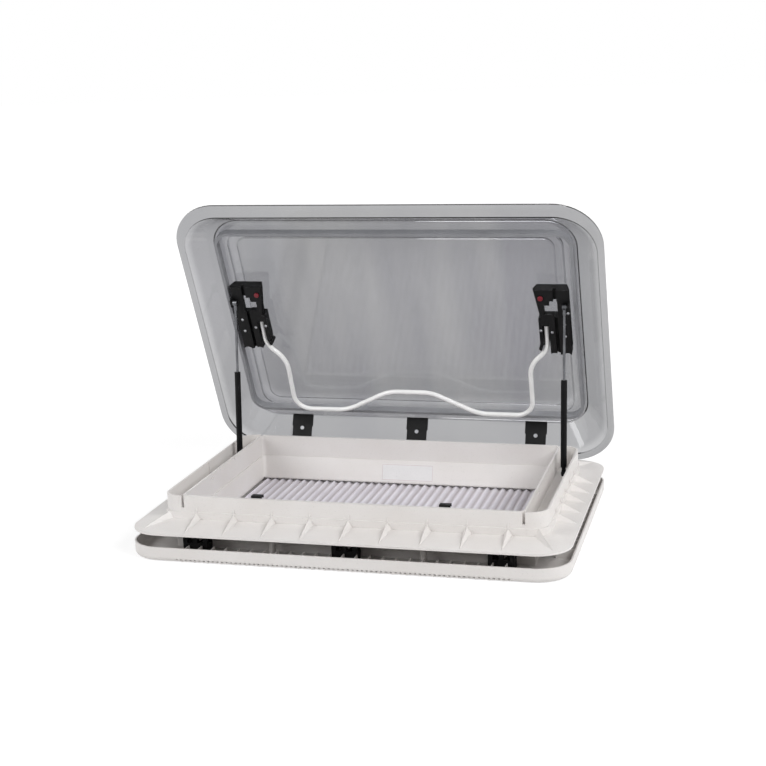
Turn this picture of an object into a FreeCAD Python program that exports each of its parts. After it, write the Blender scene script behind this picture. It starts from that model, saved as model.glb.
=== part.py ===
"""Caravan roof light: a hinged double-glazed acrylic lid on a white roof frame, shown with the lid open.

Millimetres. X runs along the long side, Y towards the hinges, Z up. The origin is the centre of the
ceiling frame's flat underside. The lid and all that it carries are drawn closed, then opened.
"""
import FreeCAD, Part
import math
import os
from FreeCAD import Vector

# Clearances
RUNNING_FIT = 0.05
FREE_GAP = 0.3
TOOL_PAST = 1.0

# Roof cut-out and the outer frame
CUTOUT_LENGTH = 700.0
CUTOUT_WIDTH = 500.0
CUTOUT_CLEARANCE = 3.0
ROOF_THICKNESS = 15.0
ROOF_Z = 48.0
FLANGE_OVERLAP = 46.5
FLANGE_CORNER = 62.0
FLANGE_EDGE = 3.5
FLANGE_RISE = 6.5
FLANGE_LIP = 14.0
SPIGOT_DEPTH = 18.0
SPIGOT_WALL = 3.5
SPIGOT_CORNER = 12.0
SPIGOT_ROOT = 1.0
OPENING_MARGIN_X = 40.0
OPENING_MARGIN_Y = 35.0
OPENING_CORNER = 8.0
FRONT_WALL = 7.0
SIDE_WALL = 3.5
COLLAR_CORNER = 32.0
COLLAR_RISE = 29.0
LEDGE_RISE = 13.0
LEDGE_STEP = 3.0
JUNCTION_SEAT = 5.0
CHANNEL_WIDTH = 34.0
CHANNEL_FLOOR = 3.0
CHANNEL_FIN_Y = 4.0
CHANNEL_FIN_REACH = 2.5
CHANNEL_FIN_HALF = 1.0
CHANNEL_FIN_DROP = 0.6
TOP_NOTCH_Y = (-30.0, 50.0)
TOP_NOTCH_HALF = 1.6
TOP_NOTCH_DEPTH = 7.0
LATCH_SLOT_Y = -72.0
LATCH_SLOT_LENGTH = 16.0
LATCH_SLOT_HEIGHT = 3.5
LATCH_SLOT_DROP = 8.5
GUSSET_PITCH_X = 71.0
GUSSET_PITCH_Y = 62.0
GUSSET_BASE = 20.0
GUSSET_INSET = 4.0
GUSSET_FIN = 9.0
GUSSET_CORNER_ANGLE = 60.0
WALL_NOTCH = 5.0
WALL_NOTCH_DEPTH = 22.0
REAR_NOTCH_DEPTH = 7.0

# Ceiling frame
RIM_TOP = 26.0
RIM_WALL = 3.0
RIM_CORNER = 60.0
RIM_ROUND = 9.0
PLATE = 2.0
MOUTH_LIP = 4.0
LINER_WALL = 2.5
LINER_LEAN_X = 4.0
LINER_LEAN_Y = 12.5
LINER_TOP_INSET = 2.0
LINER_SEAT = 3.0
RIB_PITCH = 24.0
RIB_TOP = 20.0
RIB_THICKNESS = 2.0
RIB_CLEARANCE = 2.0
VENT_PITCH = 8.5
VENT_INSET = 36.5
VENT_WIDTH = 4.0
VENT_HEIGHT = 2.0
VENT_Z = 4.0

# Fixings between the outer frame and the ceiling frame
BOSS_RADIUS = 6.0
BOSS_INSET = 10.0
CLAMP_INSET_X = 70.0
CLAMP_INSET_Y = 117.0
CLAMP_WIDTH = 46.0
CLAMP_HEIGHT = 18.0
CLAMP_DROP = 6.0
CLAMP_WALL = 3.0
CLAMP_ROOF = 6.0
CLAMP_PRONG_WIDTH = 8.0
CLAMP_NOSE = 9.0
PILLAR_X = 138.0
PILLAR_Y = 45.0
SCREW_RADIUS = 2.0
SCREW_HEAD_RADIUS = 4.0
SCREW_HEAD = 2.5
SCREW_SKIN = 6.0
PILOT_SKIN = 3.0
SLOT_LENGTH = 5.0
SLOT_WIDTH = 1.0

# Blind and flyscreen
RAIL_TOP = 15.5
RAIL_DEPTH = 9.0
RAIL_GROOVE = 6.5
BLIND_Z = 10.2
BLIND_HEIGHT = 5.6
BLIND_PITCH = 16.0
SCREEN_Z = 4.4
SCREEN_HEIGHT = 2.6
SCREEN_PITCH = 10.0
PLEAT_SHEET = 0.8
PLEAT_EDGE_GAP = 1.0
RAIL_GROOVE_GAP = 0.6
BAR_WIDTH = 12.0
BAR_ROUND = 1.0
BAR_END_GAP = 4.0
GRIP_LENGTH = 90.0
GRIP_THICKNESS = 3.0
GRIP_HEIGHT = 2.8
CASSETTE_WALL = 1.5
INNER_BOX_GAP = 1.9

# Lid
LID_BEYOND_SIDE = 17.5
LID_BEYOND_END = 7.5
LID_CORNER = 91.0
LID_SHEET = 3.5
LID_RIM_SIDE = 13.0
LID_RIM_FRONT = 28.0
LID_RIM_REAR = 15.0
LID_DROP = 30.0
DOME_HEIGHT = 80.0
DOME_CLOSING_SIDE = 0.906
DOME_CLOSING_FRONT = 0.72
DOME_CORNER_FOOT = 76.5
DOME_CORNER_TOP = 46.5
DOME_TOP_ROUND = 24.0
OPEN_ANGLE = 64.0

# Inner pane and seal, with depths D measured from the lid's rim plane
PANE_SHEET = 2.5
PANE_GAP_SIDE = 3.0
PANE_GAP_END = 2.0
PANE_CORNER_GAP = 7.3
PANE_CORNER_CLOSING = 0.7
PANE_D = 46.0
PANE_BORDER = 22.0
PANE_STEP = 4.0
PANE_SECOND_BORDER = 17.0
PANE_SECOND_STEP = 2.0
SEAL_WIDTH = 6.0

# Hinges
HINGE_INSET = 10.5
HINGE_DROP = 8.0
HINGE_SPACING = 250.0
STRAP_WIDTH = 45.0
STRAP_SHEET = 3.5
STRAP_SCREW_D = 24.0
STRAP_NOTCH = 1.5
STRAP_NOTCH_D = 28.5
STRAP_NECK = 7.2
KNUCKLE_RADIUS = 6.0
KNUCKLE_WIDTH = 28.0
LUG_WIDTH = 7.0
PIN_RADIUS = 2.5
BASE_FRONT = 16.0
BASE_DEPTH = 24.0
BASE_THICKNESS = 3.5
BASE_SCREW_INSET = 5.0

# Bow handle and its brackets, with distances R measured forwards from the lid's rear edge
BRACKET_WIDTH = 70.0
BRACKET_TAPER = 10.0
BRACKET_WAIST = 7.0
BRACKET_FRONT_R = 403.0
BRACKET_STEP_R = 336.0
BRACKET_CHEEK_R = 272.0
BRACKET_END_R = 251.0
BRACKET_D = 24.0
BRACKET_CHAMFER = 6.0
BRACKET_TAIL_INSET = 3.0
PAD_MARGIN = 1.0
CHEEK_INSET = 2.0
CHEEK_END_R = 262.0
KNOB_R = 264.0
KNOB_INSET = 5.5
KNOB_RADIUS = 4.5
SCALLOP_RADIUS = 9.0
SCALLOP_OUTER = 11.0
SCALLOP_INNER = 7.0
SCALLOP_REACH = 5.0
WINDOW_INSET = (19.5, 46.0)
WINDOW_R = (378.0, 346.0)
WINDOW_CORNER = (11.0, 10.0)
WINDOW_SKIN = 3.0
WINDOW_UNDERCUT = (3.0, 8.0)
WINDOW_UNDERCUT_R = 11.0
COLLAR_GROOVE_GAP = 1.5
BOW_SLOT_GAP = 1.75
BOW_SLOT_ROOM = 2.0
BOW_SLOT_R = 333.0
BOW_COVER_R = 319.0
BOW_COVER = 3.0
BOW_RADIUS = 4.75
BOW_PIVOT_R = 323.0
BOW_PIVOT_D = 34.0
BOW_FOOT_D = 18.0
BOW_ARM_INSET = 20.0
BOW_ARM_R = 258.0
BOW_HIP_RUN = 38.0
BOW_HIP_R = 222.0
BOW_LEAN = 1.0
BOW_FOOT_R = 99.0
BOW_RISE_X = 139.0
BOW_CROWN_X = 45.0
BOW_CROWN_R = 148.0
BOW_ARM_BEND = 50.0
BOW_HIP_BEND = 60.0
BOW_FOOT_BEND = 34.0
BOW_RISE_BEND = 90.0
BOW_CROWN_BEND = 80.0
BOW_EYE = 6.0
BOW_PIN_REACH = 17.0
BOW_PIN_RECESS = 1.0
RIVET_RADIUS = 3.0
RIVET_EDGE = 1.0
RIVET_HEAD = 1.2
RIVET_SHANK = 1.5
RIVET_LENGTH = 3.0
RIVETS_FROM_OUTER = ((13.0, 323.0), (13.0, 295.0), (4.5, 350.0))
RIVET_FROM_HEAD = (32.0, 304.0)
RIVET_FROM_INNER = (3.2, 308.0)
BUTTON_INSET = 14.5
BUTTON_R = 385.0
BUTTON_RADIUS = 5.0
BUTTON_PROUD = 3.4
BUTTON_TRAVEL = 3.0
BUTTON_LENGTH = 9.1
BUTTON_ROUND = 1.1

# Gas struts
STRUT_PIN_RUN = 151.0
STRUT_TOP_R = 370.0
STRUT_TOP_D = 17.0
STRUT_EYE_RADIUS = 6.0
STRUT_EYE_WIDTH = 8.0
STRUT_EYE_LIFT = 1.0
STRUT_PIN_RADIUS = 3.0
STRUT_SPARE = 20.0
CYLINDER_RADIUS = 6.0
CYLINDER_BORE = 5.0
CYLINDER_NECK = 4.0
CYLINDER_START = 12.0
CYLINDER_END_WALL = 8.0
GLAND_LENGTH = 12.0
ROD_RADIUS = 2.5
ROD_SOCKET_RADIUS = 3.5
ROD_SOCKET_LENGTH = 15.0
PISTON_LENGTH = 6.0
PISTON_REST = 2.0
STUD_REACH = 2.0
STUD_PLATE = 3.5
STUD_LUG = 8.0
STUD_LUG_RISE = 5.0

# Catches on the front wall
CATCH_X = 172.0
CATCH_WIDTH = 20.0
CATCH_HEIGHT = 13.0
CATCH_DEPTH = 12.0
CATCH_SHEET = 2.0
CATCH_LIP = 5.0
CATCH_RISE = 4.0


def arc_corner(centre_x, centre_y, radius, index, z):
    """The quarter arc of one corner, counted round from the one at +X and -Y."""
    points = []
    for step in (-1.0, -0.5, 0.0):
        a = (index + step) * math.pi / 2
        points.append(Vector(centre_x + radius * math.cos(a), centre_y + radius * math.sin(a), z))
    return Part.Arc(*points).toShape(), points[0], points[2]


def rounded_wire(half_x, y0, y1, radius, z):
    """A rectangle with round corners, symmetrical in X."""
    x = half_x - radius
    centres = ((x, y0 + radius), (x, y1 - radius), (-x, y1 - radius), (-x, y0 + radius))
    arcs = [arc_corner(*centre, radius, index, z) for index, centre in enumerate(centres)]
    edges = []
    for index, (arc, start, end) in enumerate(arcs):
        edges.append(arc)
        edges.append(Part.makeLine(end, arcs[(index + 1) % 4][1]))
    return Part.Wire(edges)


def slab(half_x, y0, y1, radius, z0, z1):
    """A plate with round corners."""
    face = Part.Face(rounded_wire(half_x, y0, y1, radius, z0))
    return face.extrude(Vector(0, 0, z1 - z0))


def loft(lower, upper):
    """A solid between two wires with straight sides."""
    return Part.makeLoft([lower, upper], True, True)


def box(x0, x1, y0, y1, z0, z1):
    """A box between opposite corners, in any order."""
    corner = Vector(min(x0, x1), min(y0, y1), min(z0, z1))
    return Part.makeBox(abs(x1 - x0), abs(y1 - y0), abs(z1 - z0), corner)


def upright(x, y, z0, z1, radius):
    """A cylinder along Z."""
    return Part.makeCylinder(radius, z1 - z0, Vector(x, y, z0), Vector(0, 0, 1))


def crossbar(x0, x1, y, z, radius):
    """A cylinder along X."""
    return Part.makeCylinder(radius, abs(x1 - x0), Vector(min(x0, x1), y, z), Vector(1, 0, 0))


def prism_along_x(points, x0, x1):
    """A polygon of (y, z) points, drawn out from x0 to x1."""
    ring = [Vector(x0, y, z) for y, z in points]
    face = Part.Face(Part.makePolygon(ring + ring[:1]))
    return face.extrude(Vector(x1 - x0, 0, 0))


def join(first, others):
    """One solid from several that meet."""
    return first.fuse(list(others)).removeSplitter()


def cut(shape, tools):
    """The shape less all the tools."""
    return shape.cut(list(tools))


def mirrored(shape):
    """The left-hand copy of a right-hand piece."""
    return shape.mirror(Vector(0, 0, 0), Vector(1, 0, 0))


def group(shapes):
    """Separate solids that share one node."""
    return Part.makeCompound(list(shapes))


# Sizes that follow from the driving dimensions
HALF_CUT_X = CUTOUT_LENGTH / 2
HALF_CUT_Y = CUTOUT_WIDTH / 2
FLANGE_X = HALF_CUT_X + FLANGE_OVERLAP
FLANGE_Y = HALF_CUT_Y + FLANGE_OVERLAP
SPIGOT_X = HALF_CUT_X - CUTOUT_CLEARANCE
SPIGOT_Y = HALF_CUT_Y - CUTOUT_CLEARANCE
OPENING_X = HALF_CUT_X - OPENING_MARGIN_X
OPENING_Y = HALF_CUT_Y - OPENING_MARGIN_Y
COLLAR_X = OPENING_X + CHANNEL_WIDTH + 2 * SIDE_WALL
COLLAR_Y = OPENING_Y + FRONT_WALL
LEDGE_X = COLLAR_X + LEDGE_STEP
LEDGE_Y = COLLAR_Y + LEDGE_STEP
LEDGE_CORNER = COLLAR_CORNER + LEDGE_STEP
FLANGE_EDGE_Z = ROOF_Z + FLANGE_EDGE
FLANGE_FOOT_Z = FLANGE_EDGE_Z + FLANGE_RISE
FLANGE_UNDER_Z = FLANGE_FOOT_Z - FLANGE_EDGE
JUNCTION_Z = FLANGE_FOOT_Z
LEDGE_Z = FLANGE_FOOT_Z + LEDGE_RISE
COLLAR_TOP = LEDGE_Z + COLLAR_RISE
SPIGOT_Z = ROOF_Z - SPIGOT_DEPTH
SPIGOT_ROOT_Z = FLANGE_UNDER_Z + SPIGOT_ROOT
CHANNEL_INNER_X = OPENING_X + SIDE_WALL
CHANNEL_OUTER_X = COLLAR_X - SIDE_WALL
CHANNEL_END_Y = COLLAR_Y - SIDE_WALL
CHANNEL_FLOOR_Z = JUNCTION_Z + CHANNEL_FLOOR
BOSS_X = SPIGOT_X - BOSS_INSET
BOSS_Y = SPIGOT_Y - BOSS_INSET
CLAMP_X = SPIGOT_X - CLAMP_INSET_X
CLAMP_Y = SPIGOT_Y - CLAMP_INSET_Y
CLAMP_TOP_Z = SPIGOT_Z - CLAMP_DROP
CLAMP_BASE_Z = CLAMP_TOP_Z - CLAMP_HEIGHT
CLAMP_PRONG_TOP = ROOF_Z - ROOF_THICKNESS
LINER_TOP_X = OPENING_X - LINER_TOP_INSET
LINER_TOP_Y = OPENING_Y - LINER_TOP_INSET
LINER_FOOT_X = LINER_TOP_X - LINER_LEAN_X
LINER_FOOT_Y = LINER_TOP_Y - LINER_LEAN_Y
RAIL_INNER_Y = LINER_FOOT_Y
RAIL_OUTER_Y = RAIL_INNER_Y + RAIL_DEPTH
INNER_BOX_Y = RAIL_OUTER_Y + LINER_WALL + FREE_GAP
INNER_BOX_X = BOSS_X - BOSS_RADIUS - INNER_BOX_GAP
LID_X = FLANGE_X + LID_BEYOND_SIDE
LID_Y = FLANGE_Y + LID_BEYOND_END
RIM_PLANE_Z = COLLAR_TOP - LID_DROP
DOME_OUTER_X = LID_X - LID_RIM_SIDE + LID_SHEET
DOME_FRONT_Y = LID_RIM_FRONT - LID_Y - LID_SHEET
DOME_REAR_Y = LID_Y - LID_RIM_REAR + LID_SHEET
PANE_TOP_D = PANE_D + PANE_SHEET
PANE_X = DOME_OUTER_X - LID_SHEET - DOME_CLOSING_SIDE * PANE_TOP_D - PANE_GAP_SIDE
PANE_FRONT_Y = DOME_FRONT_Y + LID_SHEET + DOME_CLOSING_FRONT * PANE_TOP_D + PANE_GAP_END
PANE_REAR_Y = DOME_REAR_Y - LID_SHEET - DOME_CLOSING_SIDE * PANE_TOP_D - PANE_GAP_END
HINGE_Y = FLANGE_Y - HINGE_INSET
HINGE_Z = RIM_PLANE_Z - HINGE_DROP
BASE_Y = HINGE_Y - BASE_FRONT
STRUT_X = CHANNEL_INNER_X + CHANNEL_WIDTH / 2
STRUT_PIN_Y = HINGE_Y - STRUT_PIN_RUN
STRUT_PIN_Z = CHANNEL_FLOOR_Z + STRUT_EYE_RADIUS + STRUT_EYE_LIFT
LUG_INNER_X = STRUT_X + STRUT_EYE_WIDTH / 2 + STUD_REACH
BRACKET_OUTER_X = LUG_INNER_X + STUD_PLATE
BRACKET_HEAD_X = BRACKET_OUTER_X - BRACKET_WIDTH
BRACKET_INNER_X = BRACKET_HEAD_X + BRACKET_WAIST
WINDOW_X = tuple(BRACKET_HEAD_X + inset for inset in WINDOW_INSET)
BUTTON_X = BRACKET_HEAD_X + BUTTON_INSET
BOW_ARM_X = BRACKET_HEAD_X + BOW_ARM_INSET
BOW_HIP_X = BOW_ARM_X - BOW_HIP_RUN
BOW_FOOT_X = BOW_HIP_X - BOW_LEAN
BOW_SLOT_HALF = BOW_RADIUS + BOW_SLOT_GAP
BOW_SLOPE = math.atan2(BOW_PIVOT_D - BOW_FOOT_D, BOW_PIVOT_R - BOW_FOOT_R)


def lid_y(distance):
    """The Y of a point at a distance in front of the closed lid's rear edge."""
    return LID_Y - distance


def lid_z(depth):
    """The Z of a point at a depth above the closed lid's rim plane."""
    return RIM_PLANE_Z + depth


def opened(shape):
    """A piece of the lid, turned about the hinge to the open position."""
    turned = shape.copy()
    turned.rotate(Vector(0, HINGE_Y, HINGE_Z), Vector(1, 0, 0), -OPEN_ANGLE)
    return turned


def opened_point(y, z):
    """The open position of a point on the closed lid, as (y, z)."""
    a = math.radians(-OPEN_ANGLE)
    dy = y - HINGE_Y
    dz = z - HINGE_Z
    return (
        HINGE_Y + dy * math.cos(a) - dz * math.sin(a),
        HINGE_Z + dy * math.sin(a) + dz * math.cos(a),
    )


PIVOT_Y = lid_y(BOW_PIVOT_R)
PIVOT_Z = lid_z(BOW_PIVOT_D)
STUD_Y = lid_y(STRUT_TOP_R)
STUD_Z = lid_z(STRUT_TOP_D)
STRUT_SHUT = math.hypot(STUD_Y - STRUT_PIN_Y, STUD_Z - STRUT_PIN_Z)
CYLINDER_LENGTH = STRUT_SHUT - STRUT_SPARE


def both_ways(reach, pitch):
    """Places at a steady pitch on both sides of the middle."""
    return [index * pitch for index in range(-reach, reach + 1)]


def boss_places():
    """Where the clamps sit: three along each long side, two along each short side."""
    places = []
    for side in (-1, 1):
        for x in (-CLAMP_X, 0.0, CLAMP_X):
            places.append((x, side * BOSS_Y, 0.0, side))
        for y in (-CLAMP_Y, CLAMP_Y):
            places.append((side * BOSS_X, y, side, 0.0))
    return places


def pillar_places():
    """Where the ceiling frame is screwed up to the outer frame."""
    places = []
    for side in (-1, 1):
        for x in (-PILLAR_X, PILLAR_X):
            places.append((x, side * BOSS_Y))
        places.append((side * BOSS_X, PILLAR_Y))
    return places


def gusset(x, y, out_x, out_y, reach):
    """A tapering web from the ledge down to the flange, thick at its foot and sharp at its ridge."""
    side_x = -out_y * GUSSET_BASE / 2
    side_y = out_x * GUSSET_BASE / 2
    sink = LEDGE_STEP
    low = FLANGE_UNDER_Z
    apex = Vector(x - out_x * sink, y - out_y * sink, LEDGE_Z)
    crest = Vector(x, y, LEDGE_Z)
    foot = Vector(x + out_x * reach, y + out_y * reach, FLANGE_EDGE_Z)
    base = [
        Vector(x - out_x * sink + side_x, y - out_y * sink + side_y, low),
        foot,
        Vector(x - out_x * sink - side_x, y - out_y * sink - side_y, low),
    ]
    loops = (
        (base[0], base[1], crest),
        (base[1], base[2], crest),
        (base[0], crest, apex),
        (base[2], apex, crest),
        (base[0], apex, base[2]),
        (base[0], base[2], base[1]),
    )
    faces = [Part.Face(Part.makePolygon(list(loop) + [loop[0]])) for loop in loops]
    return Part.makeSolid(Part.makeShell(faces))


def gusset_fin(x, y, out_x, out_y):
    """The small fin that carries a gusset's line on above the ledge."""
    half = RIB_THICKNESS / 2
    side = Vector(-out_y * half, out_x * half, 0)
    inner = Vector(x - out_x * 2 * LEDGE_STEP, y - out_y * 2 * LEDGE_STEP, LEDGE_Z)
    outer = Vector(x, y, LEDGE_Z)
    low_in = inner - Vector(0, 0, LEDGE_STEP)
    low_out = outer - Vector(0, 0, LEDGE_STEP)
    tip = Vector(x - out_x * LEDGE_STEP, y - out_y * LEDGE_STEP, LEDGE_Z + GUSSET_FIN)
    tip_in = Vector(inner.x, inner.y, LEDGE_Z + GUSSET_FIN)
    ring = [point - side for point in (low_in, low_out, outer, tip, tip_in)]
    face = Part.Face(Part.makePolygon(ring + ring[:1]))
    return face.extrude(side * 2)


def clear_of_hinges(x):
    """Whether a gusset's foot at x stands beside every hinge base."""
    return all(abs(x - hinge) > (STRAP_WIDTH + GUSSET_BASE) / 2 for hinge in hinge_x())


def gussets():
    """All gussets round the collar with their fins."""
    solids = []
    reach_x = int((LEDGE_X - LEDGE_CORNER - GUSSET_BASE) / GUSSET_PITCH_X)
    reach_y = int((LEDGE_Y - LEDGE_CORNER - GUSSET_BASE) / GUSSET_PITCH_Y)
    for side in (-1, 1):
        for x in both_ways(reach_x, GUSSET_PITCH_X):
            solids.append(gusset_fin(x, side * LEDGE_Y, 0, side))
            if side < 0 or clear_of_hinges(x):
                solids.append(gusset(x, side * LEDGE_Y, 0, side, FLANGE_Y - LEDGE_Y - GUSSET_INSET))
        for y in both_ways(reach_y, GUSSET_PITCH_Y):
            solids.append(gusset(side * LEDGE_X, y, side, 0, FLANGE_X - LEDGE_X - GUSSET_INSET))
            solids.append(gusset_fin(side * LEDGE_X, y, side, 0))
        for end in (-1, 1):
            out_x = side * math.cos(math.radians(GUSSET_CORNER_ANGLE))
            out_y = end * math.sin(math.radians(GUSSET_CORNER_ANGLE))
            x = side * (LEDGE_X - LEDGE_CORNER) + out_x * LEDGE_CORNER
            y = end * (LEDGE_Y - LEDGE_CORNER) + out_y * LEDGE_CORNER
            solids.append(gusset(x, y, out_x, out_y, FLANGE_Y - LEDGE_Y - GUSSET_INSET))
    return solids


def side_channels():
    """The two open channels that the gas struts lie in, along the short sides."""
    whole = slab(
        CHANNEL_OUTER_X, -CHANNEL_END_Y, CHANNEL_END_Y, COLLAR_CORNER - SIDE_WALL,
        CHANNEL_FLOOR_Z, COLLAR_TOP + TOOL_PAST,
    )
    middle = box(
        -CHANNEL_INNER_X, CHANNEL_INNER_X, -COLLAR_Y, COLLAR_Y,
        CHANNEL_FLOOR_Z - TOOL_PAST, COLLAR_TOP + 2 * TOOL_PAST,
    )
    return whole.cut(middle)


def roof_frame():
    """The roof frame as one moulding: flange, spigot into the cut-out, collar, channels and gussets."""
    edge = slab(FLANGE_X, -FLANGE_Y, FLANGE_Y, FLANGE_CORNER, ROOF_Z, FLANGE_EDGE_Z)
    slope = loft(
        rounded_wire(FLANGE_X, -FLANGE_Y, FLANGE_Y, FLANGE_CORNER, FLANGE_EDGE_Z),
        rounded_wire(LEDGE_X, -LEDGE_Y, LEDGE_Y, LEDGE_CORNER, FLANGE_FOOT_Z),
    )
    lower_wall = slab(LEDGE_X, -LEDGE_Y, LEDGE_Y, LEDGE_CORNER, FLANGE_UNDER_Z, LEDGE_Z)
    upper_wall = slab(COLLAR_X, -COLLAR_Y, COLLAR_Y, COLLAR_CORNER, LEDGE_Z, COLLAR_TOP)
    spigot = slab(SPIGOT_X, -SPIGOT_Y, SPIGOT_Y, SPIGOT_CORNER, SPIGOT_Z, SPIGOT_ROOT_Z)
    seat_x = OPENING_X + JUNCTION_SEAT
    seat_y = OPENING_Y + JUNCTION_SEAT
    flange_x = FLANGE_X - FLANGE_LIP
    flange_y = FLANGE_Y - FLANGE_LIP
    hollow = loft(
        rounded_wire(flange_x, -flange_y, flange_y, FLANGE_CORNER - FLANGE_LIP, ROOF_Z),
        rounded_wire(LEDGE_X, -LEDGE_Y, LEDGE_Y, LEDGE_CORNER, FLANGE_UNDER_Z),
    )
    inside = SPIGOT_WALL
    well = slab(
        SPIGOT_X - inside, inside - SPIGOT_Y, SPIGOT_Y - inside, SPIGOT_CORNER - inside,
        SPIGOT_Z - TOOL_PAST, FLANGE_UNDER_Z,
    )
    well_top = slab(seat_x, -seat_y, seat_y, OPENING_CORNER, ROOF_Z, JUNCTION_Z)
    opening = slab(OPENING_X, -OPENING_Y, OPENING_Y, OPENING_CORNER, ROOF_Z, COLLAR_TOP + TOOL_PAST)
    skin = join(edge, [slope]).cut(hollow)
    body = join(lower_wall, [upper_wall, skin.cut(well), spigot.cut(well)])
    body = join(body, gussets())
    body = cut(body, [well_top, opening, side_channels()])
    extras = [
        upright(x, y, CLAMP_TOP_Z, SPIGOT_ROOT_Z, BOSS_RADIUS)
        for x, y in [place[:2] for place in boss_places()] + pillar_places()
    ]
    for side in (-1, 1):
        extras.append(box(
            side * (CHANNEL_OUTER_X - CHANNEL_FIN_REACH), side * (COLLAR_X - SIDE_WALL / 2),
            CHANNEL_FIN_Y - CHANNEL_FIN_HALF, CHANNEL_FIN_Y + CHANNEL_FIN_HALF,
            CHANNEL_FLOOR_Z - TOOL_PAST, COLLAR_TOP - CHANNEL_FIN_DROP,
        ))
    body = join(body, extras)
    pilots = [
        upright(x, y, CLAMP_TOP_Z, FLANGE_EDGE_Z - PILOT_SKIN, SCREW_RADIUS + RUNNING_FIT)
        for x, y in [place[:2] for place in boss_places()] + pillar_places()
    ]
    notches = []
    for side in (-1, 1):
        x0 = side * CHANNEL_INNER_X
        x1 = side * (CHANNEL_INNER_X - WALL_NOTCH)
        for end, depth in ((-1, WALL_NOTCH_DEPTH), (1, REAR_NOTCH_DEPTH)):
            notches.append(box(
                x0, x1, end * (OPENING_Y - TOOL_PAST), end * LEDGE_Y,
                COLLAR_TOP - depth, COLLAR_TOP + TOOL_PAST,
            ))
        x0 = side * (OPENING_X - TOOL_PAST)
        x1 = side * (CHANNEL_INNER_X + TOOL_PAST)
        for y in TOP_NOTCH_Y:
            notches.append(box(
                x0, x1, y - TOP_NOTCH_HALF, y + TOP_NOTCH_HALF,
                COLLAR_TOP - TOP_NOTCH_DEPTH, COLLAR_TOP + TOOL_PAST,
            ))
        half = LATCH_SLOT_LENGTH / 2
        top = COLLAR_TOP - LATCH_SLOT_DROP
        notches.append(box(
            x0, x1, LATCH_SLOT_Y - half, LATCH_SLOT_Y + half, top - LATCH_SLOT_HEIGHT, top,
        ))
    hinge_holes = [
        upright(x, y, ROOF_Z, FLANGE_FOOT_Z, SCREW_RADIUS + RUNNING_FIT) for x, y in hinge_screw_places()
    ]
    return cut(body, pilots + notches + hinge_holes)


def frame_parts():
    """The roof frame in its five parts: flange, spigot, collar and the outer walls of both channels."""
    whole = roof_frame()
    far_z = COLLAR_TOP + TOOL_PAST
    collar_zone = slab(LEDGE_X, -LEDGE_Y, LEDGE_Y, LEDGE_CORNER, FLANGE_FOOT_Z, far_z)
    spigot_zone = slab(SPIGOT_X, -SPIGOT_Y, SPIGOT_Y, SPIGOT_CORNER, 0, FLANGE_FOOT_Z)
    wall_zones = [
        box(
            side * CHANNEL_INNER_X, side * (LEDGE_X + TOOL_PAST), -LEDGE_Y - TOOL_PAST, LEDGE_Y + TOOL_PAST,
            FLANGE_FOOT_Z, far_z,
        )
        for side in (-1, 1)
    ]
    collar = whole.common(collar_zone)
    return {
        "outer_frame": cut(whole, [collar_zone, spigot_zone]),
        "roof_spigot": whole.common(spigot_zone),
        "frame_collar": cut(collar, wall_zones),
        "channel_wall_left": collar.common(wall_zones[0]),
        "channel_wall_right": collar.common(wall_zones[1]),
    }


def ceiling_ribs():
    """Thin webs across the tray between the inner box and the rim."""
    ribs = []
    reach_x = int((SPIGOT_X - 2 * RIB_PITCH) / RIB_PITCH)
    reach_y = int((SPIGOT_Y - 3 * RIB_PITCH) / RIB_PITCH)
    half = RIB_THICKNESS / 2
    start = CLAMP_NOSE + RIB_CLEARANCE
    end = RIM_WALL / 2
    for side in (-1, 1):
        for x in both_ways(reach_x, RIB_PITCH):
            y0 = side * (SPIGOT_Y + start)
            y1 = side * (FLANGE_Y - end)
            ribs.append(box(x - half, x + half, y0, y1, PLATE / 2, RIB_TOP))
        for y in both_ways(reach_y, RIB_PITCH):
            x0 = side * (SPIGOT_X + start)
            x1 = side * (FLANGE_X - end)
            ribs.append(box(x0, x1, y - half, y + half, PLATE / 2, RIB_TOP))
    return ribs


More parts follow.
